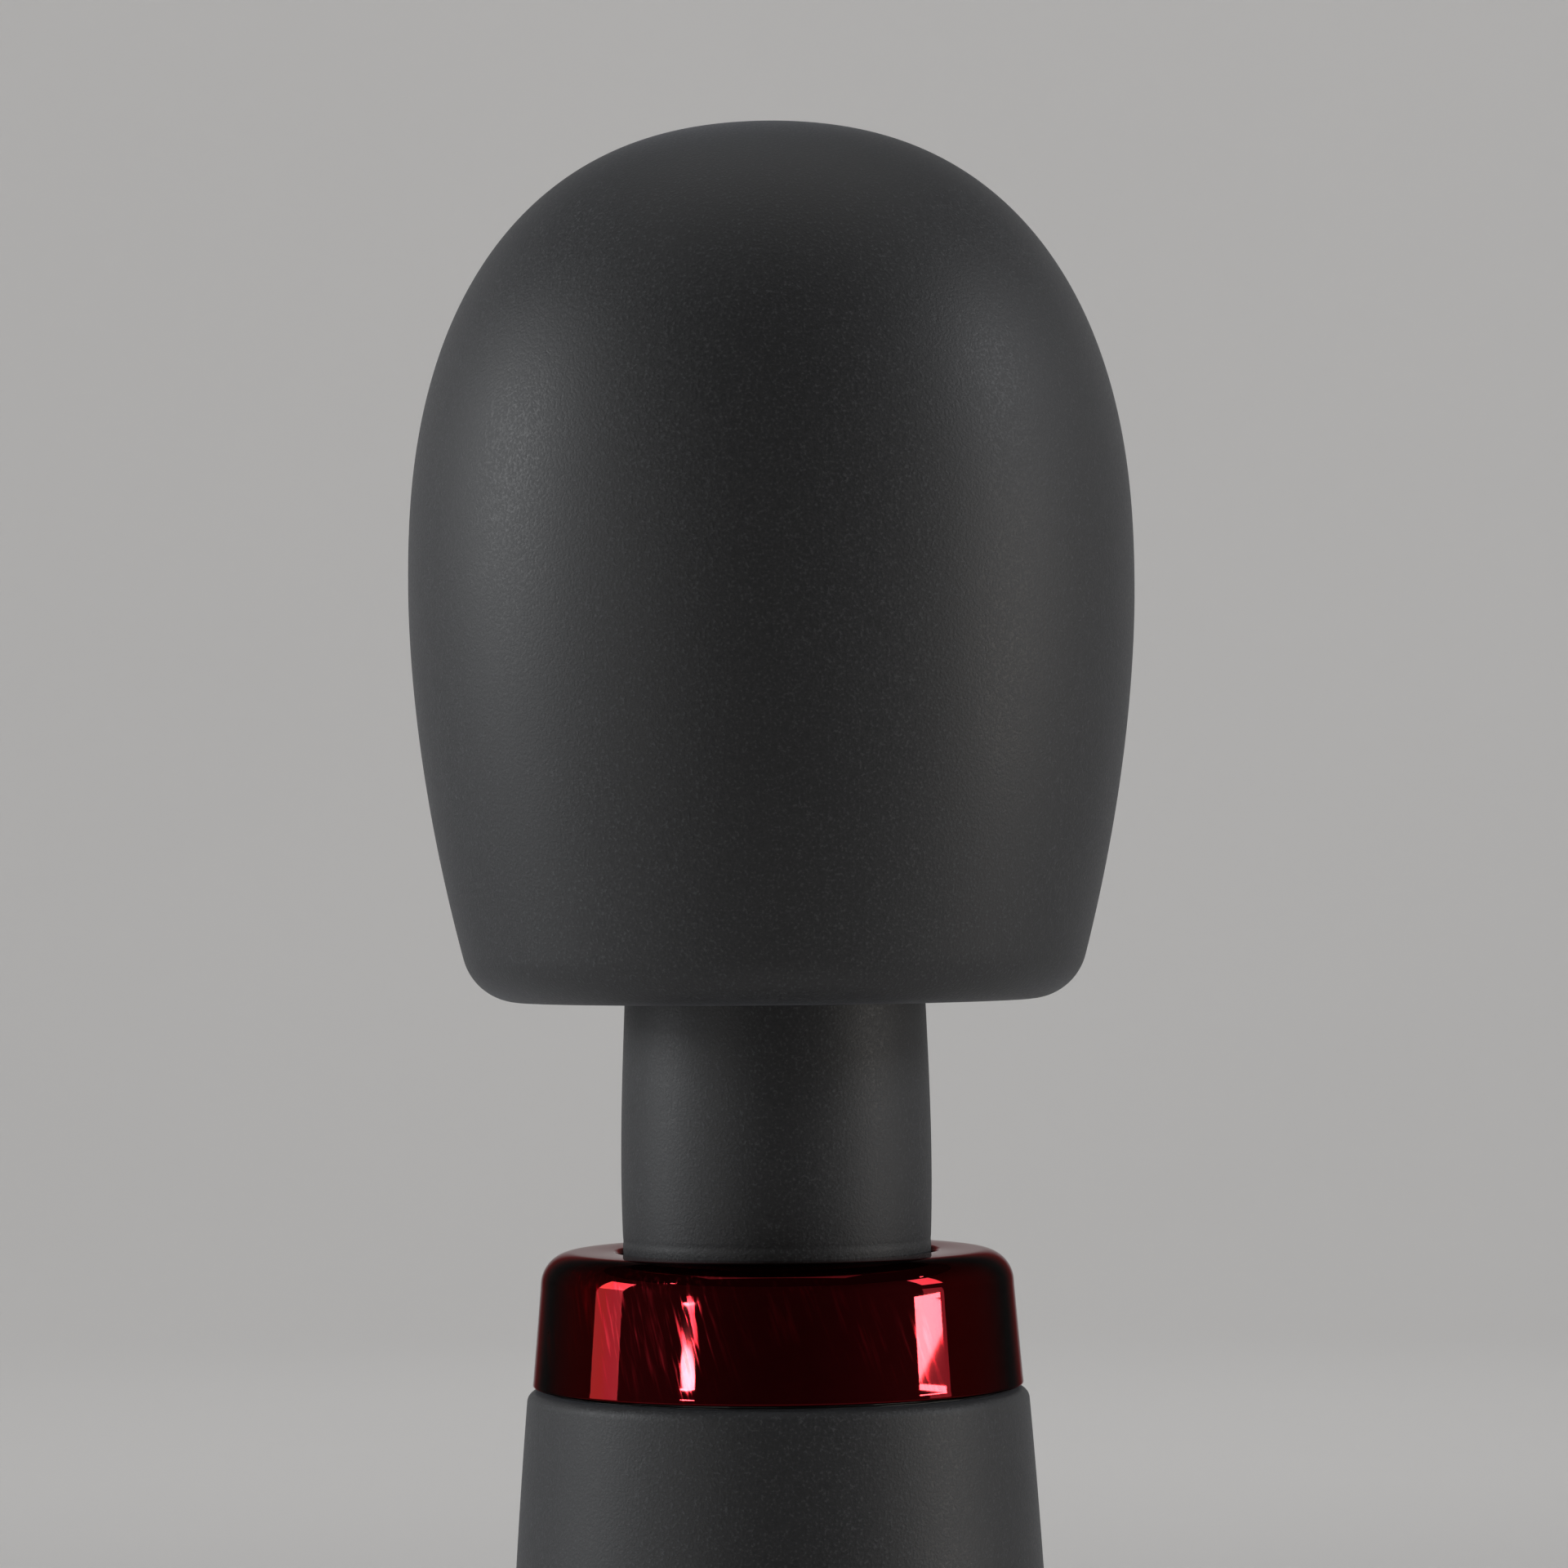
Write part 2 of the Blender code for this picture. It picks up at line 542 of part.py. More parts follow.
def make_core():
    """The two core halves, with a screw boss near each corner."""
    screw_places = [(side * x, z) for x, z in ((14.6, 186.0), (10.8, 26.0)) for side in (1, -1)]
    boss_r, boss_end, boss_lap, seat, pilot_end = 3.2, 7.4, 2, 5.2, 6.8
    hole_r, recess_r, hole_lap = 1.55, 2.8, 3
    pilot = [(0, -pilot_end), (hole_r, -pilot_end), (hole_r, hole_lap), (0, hole_lap)]
    stepped = [(0, -hole_lap), (hole_r, -hole_lap), (hole_r, seat), (recess_r, seat),
               (recess_r, FAR), (0, FAR)]
    for name, side in (("core_front", -1), ("core_rear", 1)):
        core = turned(name, core_wall(), "black_plastic", CORE_SEGMENTS)
        boss_low, boss_high = (-boss_end, boss_lap) if side < 0 else (-boss_lap, boss_end)
        for number, (x, z) in enumerate(screw_places, 1):
            boss = f"{name}_boss_{number}"
            add(core, rod(boss, boss_r, boss_low, boss_high, "black_plastic", "Y", (x, 0, z), 16))
        keep_half(core, side, -FAR, RING_TOP_Z + FAR)
        outline = pilot if side < 0 else stepped
        for number, (x, z) in enumerate(screw_places, 1):
            hole = f"{name}_hole_{number}"
            cut(core, turned(hole, outline, "black_plastic", 10, axis="Y", centre=(x, 0, z)))
        if side < 0:
            cut_controls(core)
        else:
            hole_w, hole_h, hole_front = 10.6, 4.6, 5
            hole = slot_block("core_port_hole", hole_w, hole_h, hole_front, FAR, PORT_Z, "black_plastic")
            cut(core, hole)
    shank_r, head_r, tip = hole_r - GAP, recess_r - GAP, -pilot_end + GAP
    outline = [(0, tip), (shank_r, tip), (shank_r, seat + GAP), (head_r, seat + GAP),
               (head_r, boss_end), (0, boss_end)]
    for number, (x, z) in enumerate(screw_places, 1):
        turned(f"core_screw_{number}", outline, "steel", SMALL_SEGMENTS, axis="Y", centre=(x, 0, z))


def button_heights():
    return {"plus": POWER_Z + BUTTON_SPACING, "power": POWER_Z, "minus": POWER_Z - BUTTON_SPACING}


def cut_controls(piece):
    """Cuts the button holes and the lens hole in the front of a piece."""
    near_y = -14
    for label, z in button_heights().items():
        hole = f"{piece.name}_{label}_hole"
        cut(piece, rod(hole, BUTTON_R + GAP, -FAR, near_y, "black_plastic", "Y", (0, 0, z), 16))
    hole = f"{piece.name}_lens_hole"
    cut(piece, rod(hole, LENS_R + GAP, -FAR, near_y, "black_plastic", "Y", (0, 0, LED_Z)))


def make_sleeve():
    """The silicone grip over the core, with a small rounding at its top edge."""
    rounding = 0.9
    outside = handle_line(0, SLEEVE_BASE_Z, HANDLE_TOP_Z - rounding, 9)
    outside += arc(HANDLE_TOP_R - rounding, HANDLE_TOP_Z - rounding, rounding, 30, 90, 2)
    inside = handle_line(SLEEVE_T, SLEEVE_BASE_Z, HANDLE_TOP_Z, 7)[::-1]
    sleeve = turned("handle_sleeve", outside + inside, "grey_silicone", OUTER_SEGMENTS)
    cut_controls(sleeve)
    cut(sleeve, port_window())


def make_base():
    """Base cap with the spigot that clips into the core, and the rubber foot under it."""
    foot_r, foot_chamfer, recess_top = 11.6, 0.5, FOOT_H + GAP
    corner_r, cap_low, cap_high = 4.4, 1.2, SLEEVE_BASE_Z - GAP
    edge_r = handle_radius(SLEEVE_BASE_Z) - 0.05
    spigot_r = handle_radius(9.0) - SLEEVE_T - CORE_T - 2 * GAP
    spigot_wall, spigot_top, floor_z = 1.6, 12.0, 4.6
    outline = [(0, recess_top), (foot_r + GAP, recess_top), (foot_r + GAP, cap_low)]
    outline += arc(edge_r - corner_r, cap_low + corner_r, corner_r, -90, 0, 4)
    outline += [(edge_r, cap_high), (spigot_r, cap_high), (spigot_r, spigot_top),
                (spigot_r - spigot_wall, spigot_top), (spigot_r - spigot_wall, floor_z), (0, floor_z)]
    turned("base_cap", outline, "black_plastic", OUTER_SEGMENTS)
    outline = [(0, 0), (foot_r - foot_chamfer, 0), (foot_r, foot_chamfer), (foot_r, FOOT_H), (0, FOOT_H)]
    turned("base_foot", outline, "black_rubber", OUTER_SEGMENTS)


# Controls and electronics.

def make_button_cap(label, z, stem_end):
    """A domed cap with the rim that keeps it in and a stem, whose origin is the middle of its face."""
    rim_r, rim_front, rim_back, stem_r = 5.7, -17.7, -16.9, 1.6
    face, dome, edge = -handle_radius(z) - BUTTON_PROUD, 0.5, 0.5
    outline = [(0, face), (BUTTON_R / 2, face + dome / 4), (BUTTON_R - edge, face + dome),
               (BUTTON_R, face + dome + edge), (BUTTON_R, rim_front), (rim_r, rim_front),
               (rim_r, rim_back), (stem_r, rim_back), (stem_r, stem_end), (0, stem_end)]
    cap = turned(f"{label}_button", outline, "red_mirror", 16, axis="Y", centre=(0, 0, z))
    cap.data.transform(Matrix.Translation((0, -face * MM, -z * MM)))
    cap.location = (0, face * MM, z * MM)


def make_buttons():
    """Three caps, each over the plunger of its switch."""
    half, switch_back = SWITCH_W / 2, BOARD_FRONT_Y - GAP
    switch_front = switch_back - SWITCH_D
    well_back, plunger_back, plunger_front = switch_front + 1.4, switch_front + 0.4, switch_front - 1.3
    for label, z in button_heights().items():
        centre = (0, 0, z)
        make_button_cap(label, z, plunger_front - GAP)
        body = block(f"{label}_switch", (-half, switch_front, z - half), (half, switch_back, z + half),
                     "black_plastic")
        cut(body, rod(f"{label}_well", PLUNGER_R + GAP, -FAR, well_back, "black_plastic", "Y", centre))
        plunger = rod(f"{label}_plunger", PLUNGER_R, plunger_front, plunger_back, "white_plastic", "Y",
                      centre)
        hang([plunger], axis_empty(f"{label}_press_axis", 0, -handle_radius(z) - BUTTON_PROUD, z))


def make_boards():
    """The main board with its chip and status light, and the lens over the light."""
    half_w, low, high = 7, 134, 196
    block("main_board", (-half_w, BOARD_FRONT_Y, low), (half_w, BOARD_BACK_Y, high), "board_green")
    chip_half, chip_z, chip_t = 3, 191, 1.2
    led_half_w, led_half_h, led_t = 1.4, 1, 1.5
    seat = BOARD_FRONT_Y - GAP
    block("control_chip", (-chip_half, seat - chip_t, chip_z - chip_half),
          (chip_half, seat, chip_z + chip_half), "black_plastic")
    block("status_led", (-led_half_w, seat - led_t, LED_Z - led_half_h),
          (led_half_w, seat, LED_Z + led_half_h), "white_plastic")
    lens_face, lens_back, edge = -handle_radius(LED_Z), -13.4, 0.3
    outline = [(0, lens_face - 0.1), (LENS_R - edge, lens_face), (LENS_R, lens_face + edge),
               (LENS_R, lens_back), (0, lens_back)]
    turned("led_lens", outline, "clear_lens", SMALL_SEGMENTS, axis="Y", centre=(0, 0, LED_Z))


def make_battery():
    """Two cells end to end in a cradle, with the link strip on the lower one."""
    inner_r, outer_r, end_t, centre = CELL_R + GAP, CELL_R + 1.7, 1.5, (0, CELL_Y, 0)
    low, high = CELL_Z - GAP, CELL_Z + CELL_SPACING + CELL_H + GAP
    cradle = rod("battery_cradle", outer_r, low - end_t, high + end_t, "black_plastic", "Z", centre,
                 INNER_SEGMENTS)
    cut(cradle, rod("cradle_hollow", inner_r, low, high, "black_plastic", "Z", centre, INNER_SEGMENTS))
    cut(cradle, block("cradle_mouth", (-FAR, CELL_Y + 2, low), (FAR, FAR, high), "black_plastic"))
    edge, shoulder, button_r, button_h = 0.4, 0.5, 3.0, 0.7
    for number in range(2):
        cell_low = CELL_Z + CELL_SPACING * number
        cell_high = cell_low + CELL_H
        neck_z = cell_high - button_h
        outline = [(0, cell_low), (CELL_R - edge, cell_low), (CELL_R, cell_low + edge),
                   (CELL_R, neck_z - shoulder), (CELL_R - shoulder, neck_z), (button_r, neck_z),
                   (button_r, cell_high), (0, cell_high)]
        turned(f"battery_cell_{number + 1}", outline, "cell_wrap", INNER_SEGMENTS, centre=centre)
    link_half, link_t, link_low = 2.5, 0.7, CELL_Z + CELL_H + GAP
    block("battery_link", (-link_half, CELL_Y - link_half, link_low),
          (link_half, CELL_Y + link_half, link_low + link_t), "steel")


def make_socket():
    """Charging board, socket shell and contact tongue."""
    shell_w, shell_h, wall, floor_t, depth = 8.94, 3.26, 0.3, 0.6, 7.3
    back_y = SOCKET_MOUTH_Y - depth
    shell = slot_block("charge_socket_shell", shell_w, shell_h, back_y, SOCKET_MOUTH_Y, PORT_Z, "steel")
    hollow_w, hollow_h = shell_w - 2 * wall, shell_h - 2 * wall
    cut(shell, slot_block("socket_hollow", hollow_w, hollow_h, back_y + floor_t, FAR, PORT_Z, "steel"))
    tongue_x, tongue_z, tongue_end = 3.3, 0.35, SOCKET_MOUTH_Y - 1.9
    block("charge_socket_tongue", (-tongue_x, back_y + floor_t + GAP, PORT_Z - tongue_z),
          (tongue_x, tongue_end, PORT_Z + tongue_z), "black_plastic")
    board_x, board_front, board_back, board_t = 5, -4, SOCKET_MOUTH_Y - 2.8, 1.2
    board_top = PORT_Z - shell_h / 2 - GAP
    block("charge_board", (-board_x, board_front, board_top - board_t), (board_x, board_back, board_top),
          "board_green")


def make_flap():
    """The silicone flap over the socket, hinged on its lower edge, with a plug for the socket's mouth."""
    low_r, high_r = handle_radius(FLAP_LOW_Z), handle_radius(FLAP_HIGH_Z)
    outline = [(low_r - FLAP_T, FLAP_LOW_Z), (low_r, FLAP_LOW_Z),
               (high_r, FLAP_HIGH_Z), (high_r - FLAP_T, FLAP_HIGH_Z)]
    flap = turned("port_flap", outline, "dark_silicone", 12, sweep=(50, 130))
    low, high = (-FLAP_W / 2, 5, FLAP_LOW_Z - 2), (FLAP_W / 2, FAR, FLAP_HIGH_Z + 2)
    combine(flap, block("flap_sides", low, high, "dark_silicone"), "INTERSECT")
    plug_w, plug_h, plug_tip, plug_root = 7.2, 1.9, SOCKET_MOUTH_Y - 1.2, low_r - FLAP_T + 0.5
    add(flap, slot_block("flap_plug", plug_w, plug_h, plug_tip, plug_root, PORT_Z, "dark_silicone"))
    hang([flap], axis_empty("flap_axis", 0, low_r, FLAP_LOW_Z))


def make_wand():
    clear_scene()
    head_axis = axis_empty("neck_sway_axis", 0, 0, SWAY_Z)
    neck_axis = axis_empty("neck_pitch_axis", 0, 0, PITCH_Z)
    hang(make_head_casing() + make_head_flange() + make_motor(), head_axis)
    hang(make_rotor(), axis_empty("motor_axis", 0, 0, MOTOR_Z))
    hang(make_neck(), neck_axis)
    make_collar()
    make_core()
    make_sleeve()
    make_base()
    make_buttons()
    make_boards()
    make_battery()
    make_socket()
    make_flap()


make_wand()
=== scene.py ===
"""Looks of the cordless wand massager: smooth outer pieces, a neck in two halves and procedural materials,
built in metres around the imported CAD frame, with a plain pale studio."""

import json
import math

import bmesh
import bpy
from mathutils import Matrix, Vector


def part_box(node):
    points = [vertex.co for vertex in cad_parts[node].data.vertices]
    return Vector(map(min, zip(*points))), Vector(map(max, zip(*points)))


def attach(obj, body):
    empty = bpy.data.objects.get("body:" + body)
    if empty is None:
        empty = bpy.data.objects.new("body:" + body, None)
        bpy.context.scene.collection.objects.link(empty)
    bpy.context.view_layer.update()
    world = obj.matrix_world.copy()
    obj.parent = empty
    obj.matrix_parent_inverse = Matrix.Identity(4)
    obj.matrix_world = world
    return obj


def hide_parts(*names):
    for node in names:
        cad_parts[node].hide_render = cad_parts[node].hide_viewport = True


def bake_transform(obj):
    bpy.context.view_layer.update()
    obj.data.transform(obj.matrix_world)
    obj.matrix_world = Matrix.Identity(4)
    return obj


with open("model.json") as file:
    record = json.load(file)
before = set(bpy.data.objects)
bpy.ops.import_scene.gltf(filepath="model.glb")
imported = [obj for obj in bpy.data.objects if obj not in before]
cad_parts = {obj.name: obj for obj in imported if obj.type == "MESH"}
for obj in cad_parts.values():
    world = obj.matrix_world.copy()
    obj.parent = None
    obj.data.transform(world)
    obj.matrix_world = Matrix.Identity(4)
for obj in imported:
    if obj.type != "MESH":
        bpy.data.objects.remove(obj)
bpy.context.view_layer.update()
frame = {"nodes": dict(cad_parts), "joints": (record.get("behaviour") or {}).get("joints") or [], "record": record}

MM = 0.001
GAP = 0.3 * MM

# Places read from the frame.
HEAD_LOW, HEAD_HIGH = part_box("head_cover")
RING_LOW, RING_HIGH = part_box("collar_ring")
SLEEVE_LOW, SLEEVE_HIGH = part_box("handle_sleeve")
NECK_LOW, NECK_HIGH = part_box("neck_sleeve")
CAP_LOW, CAP_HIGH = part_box("base_cap")
FOOT_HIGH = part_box("base_foot")[1]
JOINTS = {joint["name"]: joint for joint in frame["joints"]}
PITCH_Z = JOINTS["neck_pitch"]["pos_m"][2]
SWAY_Z = JOINTS["neck_sway"]["pos_m"][2]
MID_Z = (PITCH_Z + SWAY_Z) / 2
BEND_HALF = MID_Z - PITCH_Z
# Each neck piece is made in two halves that meet half way between the joints:
# (half, body below, body above, height where the bend starts, height where it ends).
NECK_HALVES = (("lower", "handle", "neck_mid", MID_Z - 2 * BEND_HALF, MID_Z),
               ("upper", "neck_mid", "head", MID_Z, MID_Z + 2 * BEND_HALF))

# Head.
HEAD_R = HEAD_HIGH.x
HEAD_Z = HEAD_LOW.z
HEAD_H = HEAD_HIGH.z - HEAD_LOW.z
HEAD_WIDEST_H = 34.1 * MM
CROWN_POWER = 2.36
HEAD_CORNER_R = 4.8 * MM
HEAD_SIDE_LOW_H = 3.3 * MM
HEAD_DRAW_IN = 4.4 * MM
HEAD_DRAW_POWER = 1.84
COVER_T = 2.2 * MM

# Neck. Its sleeve is in two halves, and the upper one slips over the lower one's lip.
RING_TOP_Z = RING_HIGH.z
NECK_H = HEAD_Z - RING_TOP_Z
NECK_R_TOP = 12.43 * MM
NECK_R_BOTTOM = 12.65 * MM
NECK_BULGE = 0.25 * MM
NECK_BORE_R = 10.6 * MM
NECK_LIP_IN = 1.0 * MM
NECK_LIP_GAP = 0.05 * MM
NECK_LIP_H = 1.8 * MM
NECK_BEAD = 0.05 * MM
NECK_GROOVE = 0.02 * MM

# Collar.
RING_R = RING_HIGH.x
RING_TAPER = math.radians(4.9)
RING_CORNER_R = 2.7 * MM
RING_PLATE_T = 2.2 * MM
RING_BORE_R = NECK_R_BOTTOM + 0.45 * MM
RING_INNER_R = 17.9 * MM
SCUFF_PLACE = (-8.9 * MM, -17.9 * MM, (RING_LOW.z + RING_HIGH.z) / 2 + 1.0 * MM)

# Handle.
HANDLE_TOP_Z = SLEEVE_HIGH.z
HANDLE_TOP_R = 20.65 * MM
HANDLE_TOP_SLOPE = 0.084
HANDLE_WIDEST_R = SLEEVE_HIGH.x
HANDLE_WIDEST_Z = 148.0 * MM
HANDLE_BASE_Z = SLEEVE_LOW.z
HANDLE_BASE_R = 16.8 * MM
HANDLE_BASE_SLOPE = 0.06
SLEEVE_T = 1.6 * MM

# Rows and turns of the handle's mesh, as (start, end, step) in millimetres and degrees. They are
# closest at the control panel and at the port.
HANDLE_ROWS = ((6, 17, 1.1), (17, 31, 0.6), (31, 126, 1.9), (126, 190, 0.42), (190, 207.05, 0.8))
HANDLE_TURNS = ((-115, -65, 1.0), (-65, 60, 2.5), (60, 120, 1.5), (120, 245, 2.5))

# Controls.
BUTTON_R = 4.8 * MM
BUTTON_EDGE_R = 0.75 * MM
BUTTON_CROWN = 0.28 * MM
LENS_R = 1.4 * MM
MARK_LINE = 0.30 * MM
MARK_REACH = 2.1 * MM
MARK_DEPTH = 0.45 * MM
INK_SINK = 0.08 * MM
INK_SLACK = 0.01 * MM
POWER_R = 1.6 * MM
POWER_BAR = 1.15 * MM
POWER_GAP = 32
PANEL_REACH = 8.6 * MM
PANEL_SLOPE_W = 1.8 * MM
PANEL_DEPTH = 0.45 * MM
HOLE_ROLL_W = 0.8 * MM
HOLE_ROLL = 0.30 * MM

# Charging port.
FLAP_T = 1.3 * MM
FLAP_EDGE_R = 0.4 * MM
FLAP_CORNER_R = 2.0 * MM
FLAP_LIP = 0.35 * MM
PLUG_W, PLUG_H = 7.2 * MM, 1.9 * MM
PLUG_TIP_Y, PLUG_ROOT_Y = 14.2 * MM, 16.6 * MM

# Studio. Each lamp is its name, place, target, size, power in watts, colour and shape.
AIM = (0, 0, 0.31)
RING_AIM = (0, 0, RING_TOP_Z)
COOL = (0.96, 0.98, 1.0)
COOLER = (0.94, 0.96, 1.0)
WARM = (1.0, 0.93, 0.84)
LAMPS = [
    ("key_left", (-0.55, -0.02, 0.44), AIM, (0.17, 0.18), 2.0, COOL, "RECTANGLE"),
    ("side_left", (-0.55, -0.02, 0.24), AIM, (0.17, 0.26), 0.75, COOL, "RECTANGLE"),
    ("key_right", (0.56, -0.06, 0.54), AIM, (0.15, 0.18), 1.45, COOLER, "RECTANGLE"),
    ("side_right", (0.57, -0.10, 0.22), AIM, (0.13, 0.24), 0.3, COOLER, "RECTANGLE"),
    ("strip_right", (0.563, -0.14, 0.2455), RING_AIM, (0.16, 0.013), 0.8, WARM, "RECTANGLE"),
    ("overhead", (0.0, 0.15, 1.4), AIM, (1.1, 1.1), 3.8, (1.0, 0.99, 0.97), "RECTANGLE"),
]
# Washes of light on the walls: name, direction and power.
WASHES = [("back_wash", (0, 1), 26.0), ("left_wash", (-1, 0), 12.0), ("right_wash", (1, 0), 12.0)]
WASH_R, WASH_Z, WASH_SIZE = 1.4, 1.7, (3.0, 0.5)
WALL_R, WALL_AIM_Z = 3.8, 0.5
# Small lamps that glint on the collar: name, azimuth in degrees, height, size and power.
GLINTS = [
    ("glint_left", -62, 0.75, (0.030, 0.012), 0.12),
    ("glint_right", 92, 0.75, (0.030, 0.012), 0.12),
    ("glint_front", -42, 0.253, (0.075, 0.009), 0.36),
]
GLINT_R = 0.6
GLINT_COLOUR = (1.0, 0.95, 0.9)
SKY_COLOUR = (0.92, 0.95, 1.0, 1)
SKY_STRENGTH = 0.085
PAPER = (0.74, 0.73, 0.72)
FLOOR_FLAT_R, FLOOR_CURVE_R, WALL_TOP = 2.6, 1.2, 3.4
CAMERA_PLACE = (0.0009, -0.461, HEAD_Z + 0.0094)
CAMERA_LENS = 128.0
CAMERA_TILT = math.radians(1.05)
CAMERA_ROLL = math.radians(-0.5)


def centre_of(node):
    low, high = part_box(node)
    return (low + high) / 2


BUTTON_Z = {label: centre_of(label + "_button").z for label in ("plus", "power", "minus")}
LENS_Z = centre_of("led_lens").z


# Node material helpers.

class Nodes:
    """A short way to write a node tree for one material."""

    def __init__(self, name):
        self.material = bpy.data.materials.new(name)
        self.material.use_nodes = True
        self.tree = self.material.node_tree
        self.shader = self.tree.nodes["Principled BSDF"]

    def node(self, kind, settings=(), **inputs):
        """Adds a node. Its inputs are numbers, colours or sockets of other nodes. i0 is input 0."""
        made = self.tree.nodes.new(kind)
        for key, value in dict(settings).items():
            setattr(made, key, value)
        for key, value in inputs.items():
            socket = int(key[1:]) if key[1:].isdigit() else key.replace("_", " ")
            self.feed(made.inputs[socket], value)
        return made

    def feed(self, socket, value):
        if isinstance(value, bpy.types.NodeSocket):
            self.tree.links.new(value, socket)
        else:
            socket.default_value = value

    def finish(self, **inputs):
        """Feeds the shader's inputs and gives back the material."""
        for key, value in inputs.items():
            self.feed(self.shader.inputs[key.replace("_", " ")], value)
        return self.material

    def place(self, scale=(1, 1, 1)):
        """Object coordinates, stretched along each axis."""
        coordinates = self.node("ShaderNodeTexCoord").outputs["Object"]
        return self.node("ShaderNodeMapping", Vector=coordinates, Scale=scale).outputs["Vector"]

    def noise(self, scale, detail=2.0, roughness=0.5, vector=None):
        made = self.node("ShaderNodeTexNoise", Scale=scale, Detail=detail, Roughness=roughness,
                         Vector=vector or self.place())
        return made.outputs["Fac"]

    def spread(self, value, low, high, to_low, to_high):
        """Maps a value's range low to high onto to_low to to_high."""
        made = self.node("ShaderNodeMapRange", Value=value, From_Min=low, From_Max=high,
                         To_Min=to_low, To_Max=to_high)
        return made.outputs["Result"]

    def vary(self, noise, to_low=0.0, to_high=1.0):
        """Maps the range that a noise mostly has onto to_low to to_high."""
        return self.spread(noise, 0.3, 0.7, to_low, to_high)

    def math(self, operation, first, second=0.0):
        made = self.node("ShaderNodeMath", {"operation": operation}, i0=first, i1=second)
        return made.outputs["Value"]

    def blend(self, factor, first, second):
        """A colour between two colours."""
        made = self.node("ShaderNodeMix", {"data_type": "RGBA"}, i0=factor, i6=first, i7=second)
        return made.outputs[2]

    def bump(self, height, strength, distance, normal=None):
        made = self.node("ShaderNodeBump", Strength=strength, Distance=distance, Height=height)
        if normal:
            self.feed(made.inputs["Normal"], normal)
        return made.outputs["Normal"]


def tone(colour, factor):
    """A colour made lighter or darker, with its alpha."""
    return (*(min(1.0, part * factor) for part in colour), 1.0)


def silicone(name, colour, roughness=0.56):
    """Soft-touch silicone: fine moulded grain, faint mottling and a dusty bloom at grazing angles."""
    n = Nodes(name)
    grain = n.noise(4200, detail=1.0, roughness=0.6)
    patches = n.noise(38, detail=3.0)
    base = n.blend(n.vary(patches), tone(colour, 0.88), tone(colour, 1.12))
    base = n.blend(n.spread(grain, 0.35, 0.65, 0.0, 1.0), tone(colour, 0.68), base)
    base = n.blend(n.spread(grain, 0.60, 0.72, 0.0, 0.7), base, tone(colour, 2.0))
    rough = n.math("ADD", n.vary(patches, roughness - 0.03, roughness + 0.04), n.vary(grain, -0.08, 0.08))
    ripple = n.bump(n.noise(220, detail=2.0), 0.04, 0.03 * MM)
    material = n.finish(Base_Color=base, Roughness=rough, Normal=n.bump(grain, 0.7, 0.04 * MM, ripple))
    n.shader.inputs["Specular IOR Level"].default_value = 0.27
    n.shader.inputs["Sheen Weight"].default_value = 0.05
    n.shader.inputs["Sheen Roughness"].default_value = 0.4
    n.shader.inputs["Sheen Tint"].default_value = (0.80, 0.86, 1.0, 1.0)
    return material


def red_mirror(name):
    """Deep red metallised plastic under a clear lacquer, with fine slanted wiping marks, which are
    thickest round SCUFF_PLACE."""
    deep, darkest = (0.060, 0.0012, 0.0024, 1), (0.045, 0.0007, 0.0014, 1)
    worn_red = (0.22, 0.010, 0.015, 1)
    slant, stretch = 16.0, (1, 1, 0.035)
    n = Nodes(name)
    coordinates = n.node("ShaderNodeTexCoord").outputs["Object"]
    height = n.node("ShaderNodeSeparateXYZ", Vector=coordinates).outputs["Z"]
    twisted = n.node("ShaderNodeVectorRotate", {"rotation_type": "Z_AXIS"}, Vector=coordinates,
                     Angle=n.math("MULTIPLY", height, slant))
    streak_place = n.node("ShaderNodeMapping", Vector=twisted.outputs["Vector"], Scale=stretch)
    streaks = n.noise(2600, detail=2.0, vector=streak_place.outputs["Vector"])
    patches = n.noise(90, detail=2.0)
    from_scuff = n.node("ShaderNodeVectorMath", {"operation": "DISTANCE"}, i0=coordinates, i1=SCUFF_PLACE)
    worn = n.math("MAXIMUM", n.spread(patches, 0.56, 0.72, 0.0, 0.6),
                  n.spread(from_scuff.outputs["Value"], 3 * MM, 8 * MM, 1.0, 0.0))
    wiped = n.math("MULTIPLY", n.spread(streaks, 0.52, 0.72, 0.0, 1.0), worn)
    rough = n.math("ADD", n.vary(patches, 0.015, 0.030), n.math("MULTIPLY", wiped, 0.20))
    base = n.blend(n.vary(patches, 0.0, 0.25), n.blend(wiped, deep, worn_red), darkest)
    normal = n.bump(streaks, 0.10, 0.006 * MM, n.bump(n.noise(120, detail=1.0), 0.06, 0.06 * MM))
    material = n.finish(Base_Color=base, Roughness=rough, Normal=normal)
    n.shader.inputs["Metallic"].default_value = 1.0
    n.shader.inputs["Specular Tint"].default_value = (0.30, 0.012, 0.02, 1.0)
    n.shader.inputs["Coat Weight"].default_value = 0.05
    n.shader.inputs["Coat Roughness"].default_value = 0.03
    return material


def moulded_plastic(name, colour, roughness=0.45):
    """Spark-eroded moulded plastic."""
    n = Nodes(name)
    pits = n.node("ShaderNodeTexVoronoi", Scale=2400.0, Vector=n.place()).outputs["Distance"]
    patches = n.noise(60, detail=2.0)
    base = n.blend(n.vary(patches), tone(colour, 0.85), tone(colour, 1.15))
    rough = n.vary(patches, roughness - 0.05, roughness + 0.07)
    return n.finish(Base_Color=base, Roughness=rough, Normal=n.bump(pits, 0.30, 0.02 * MM))


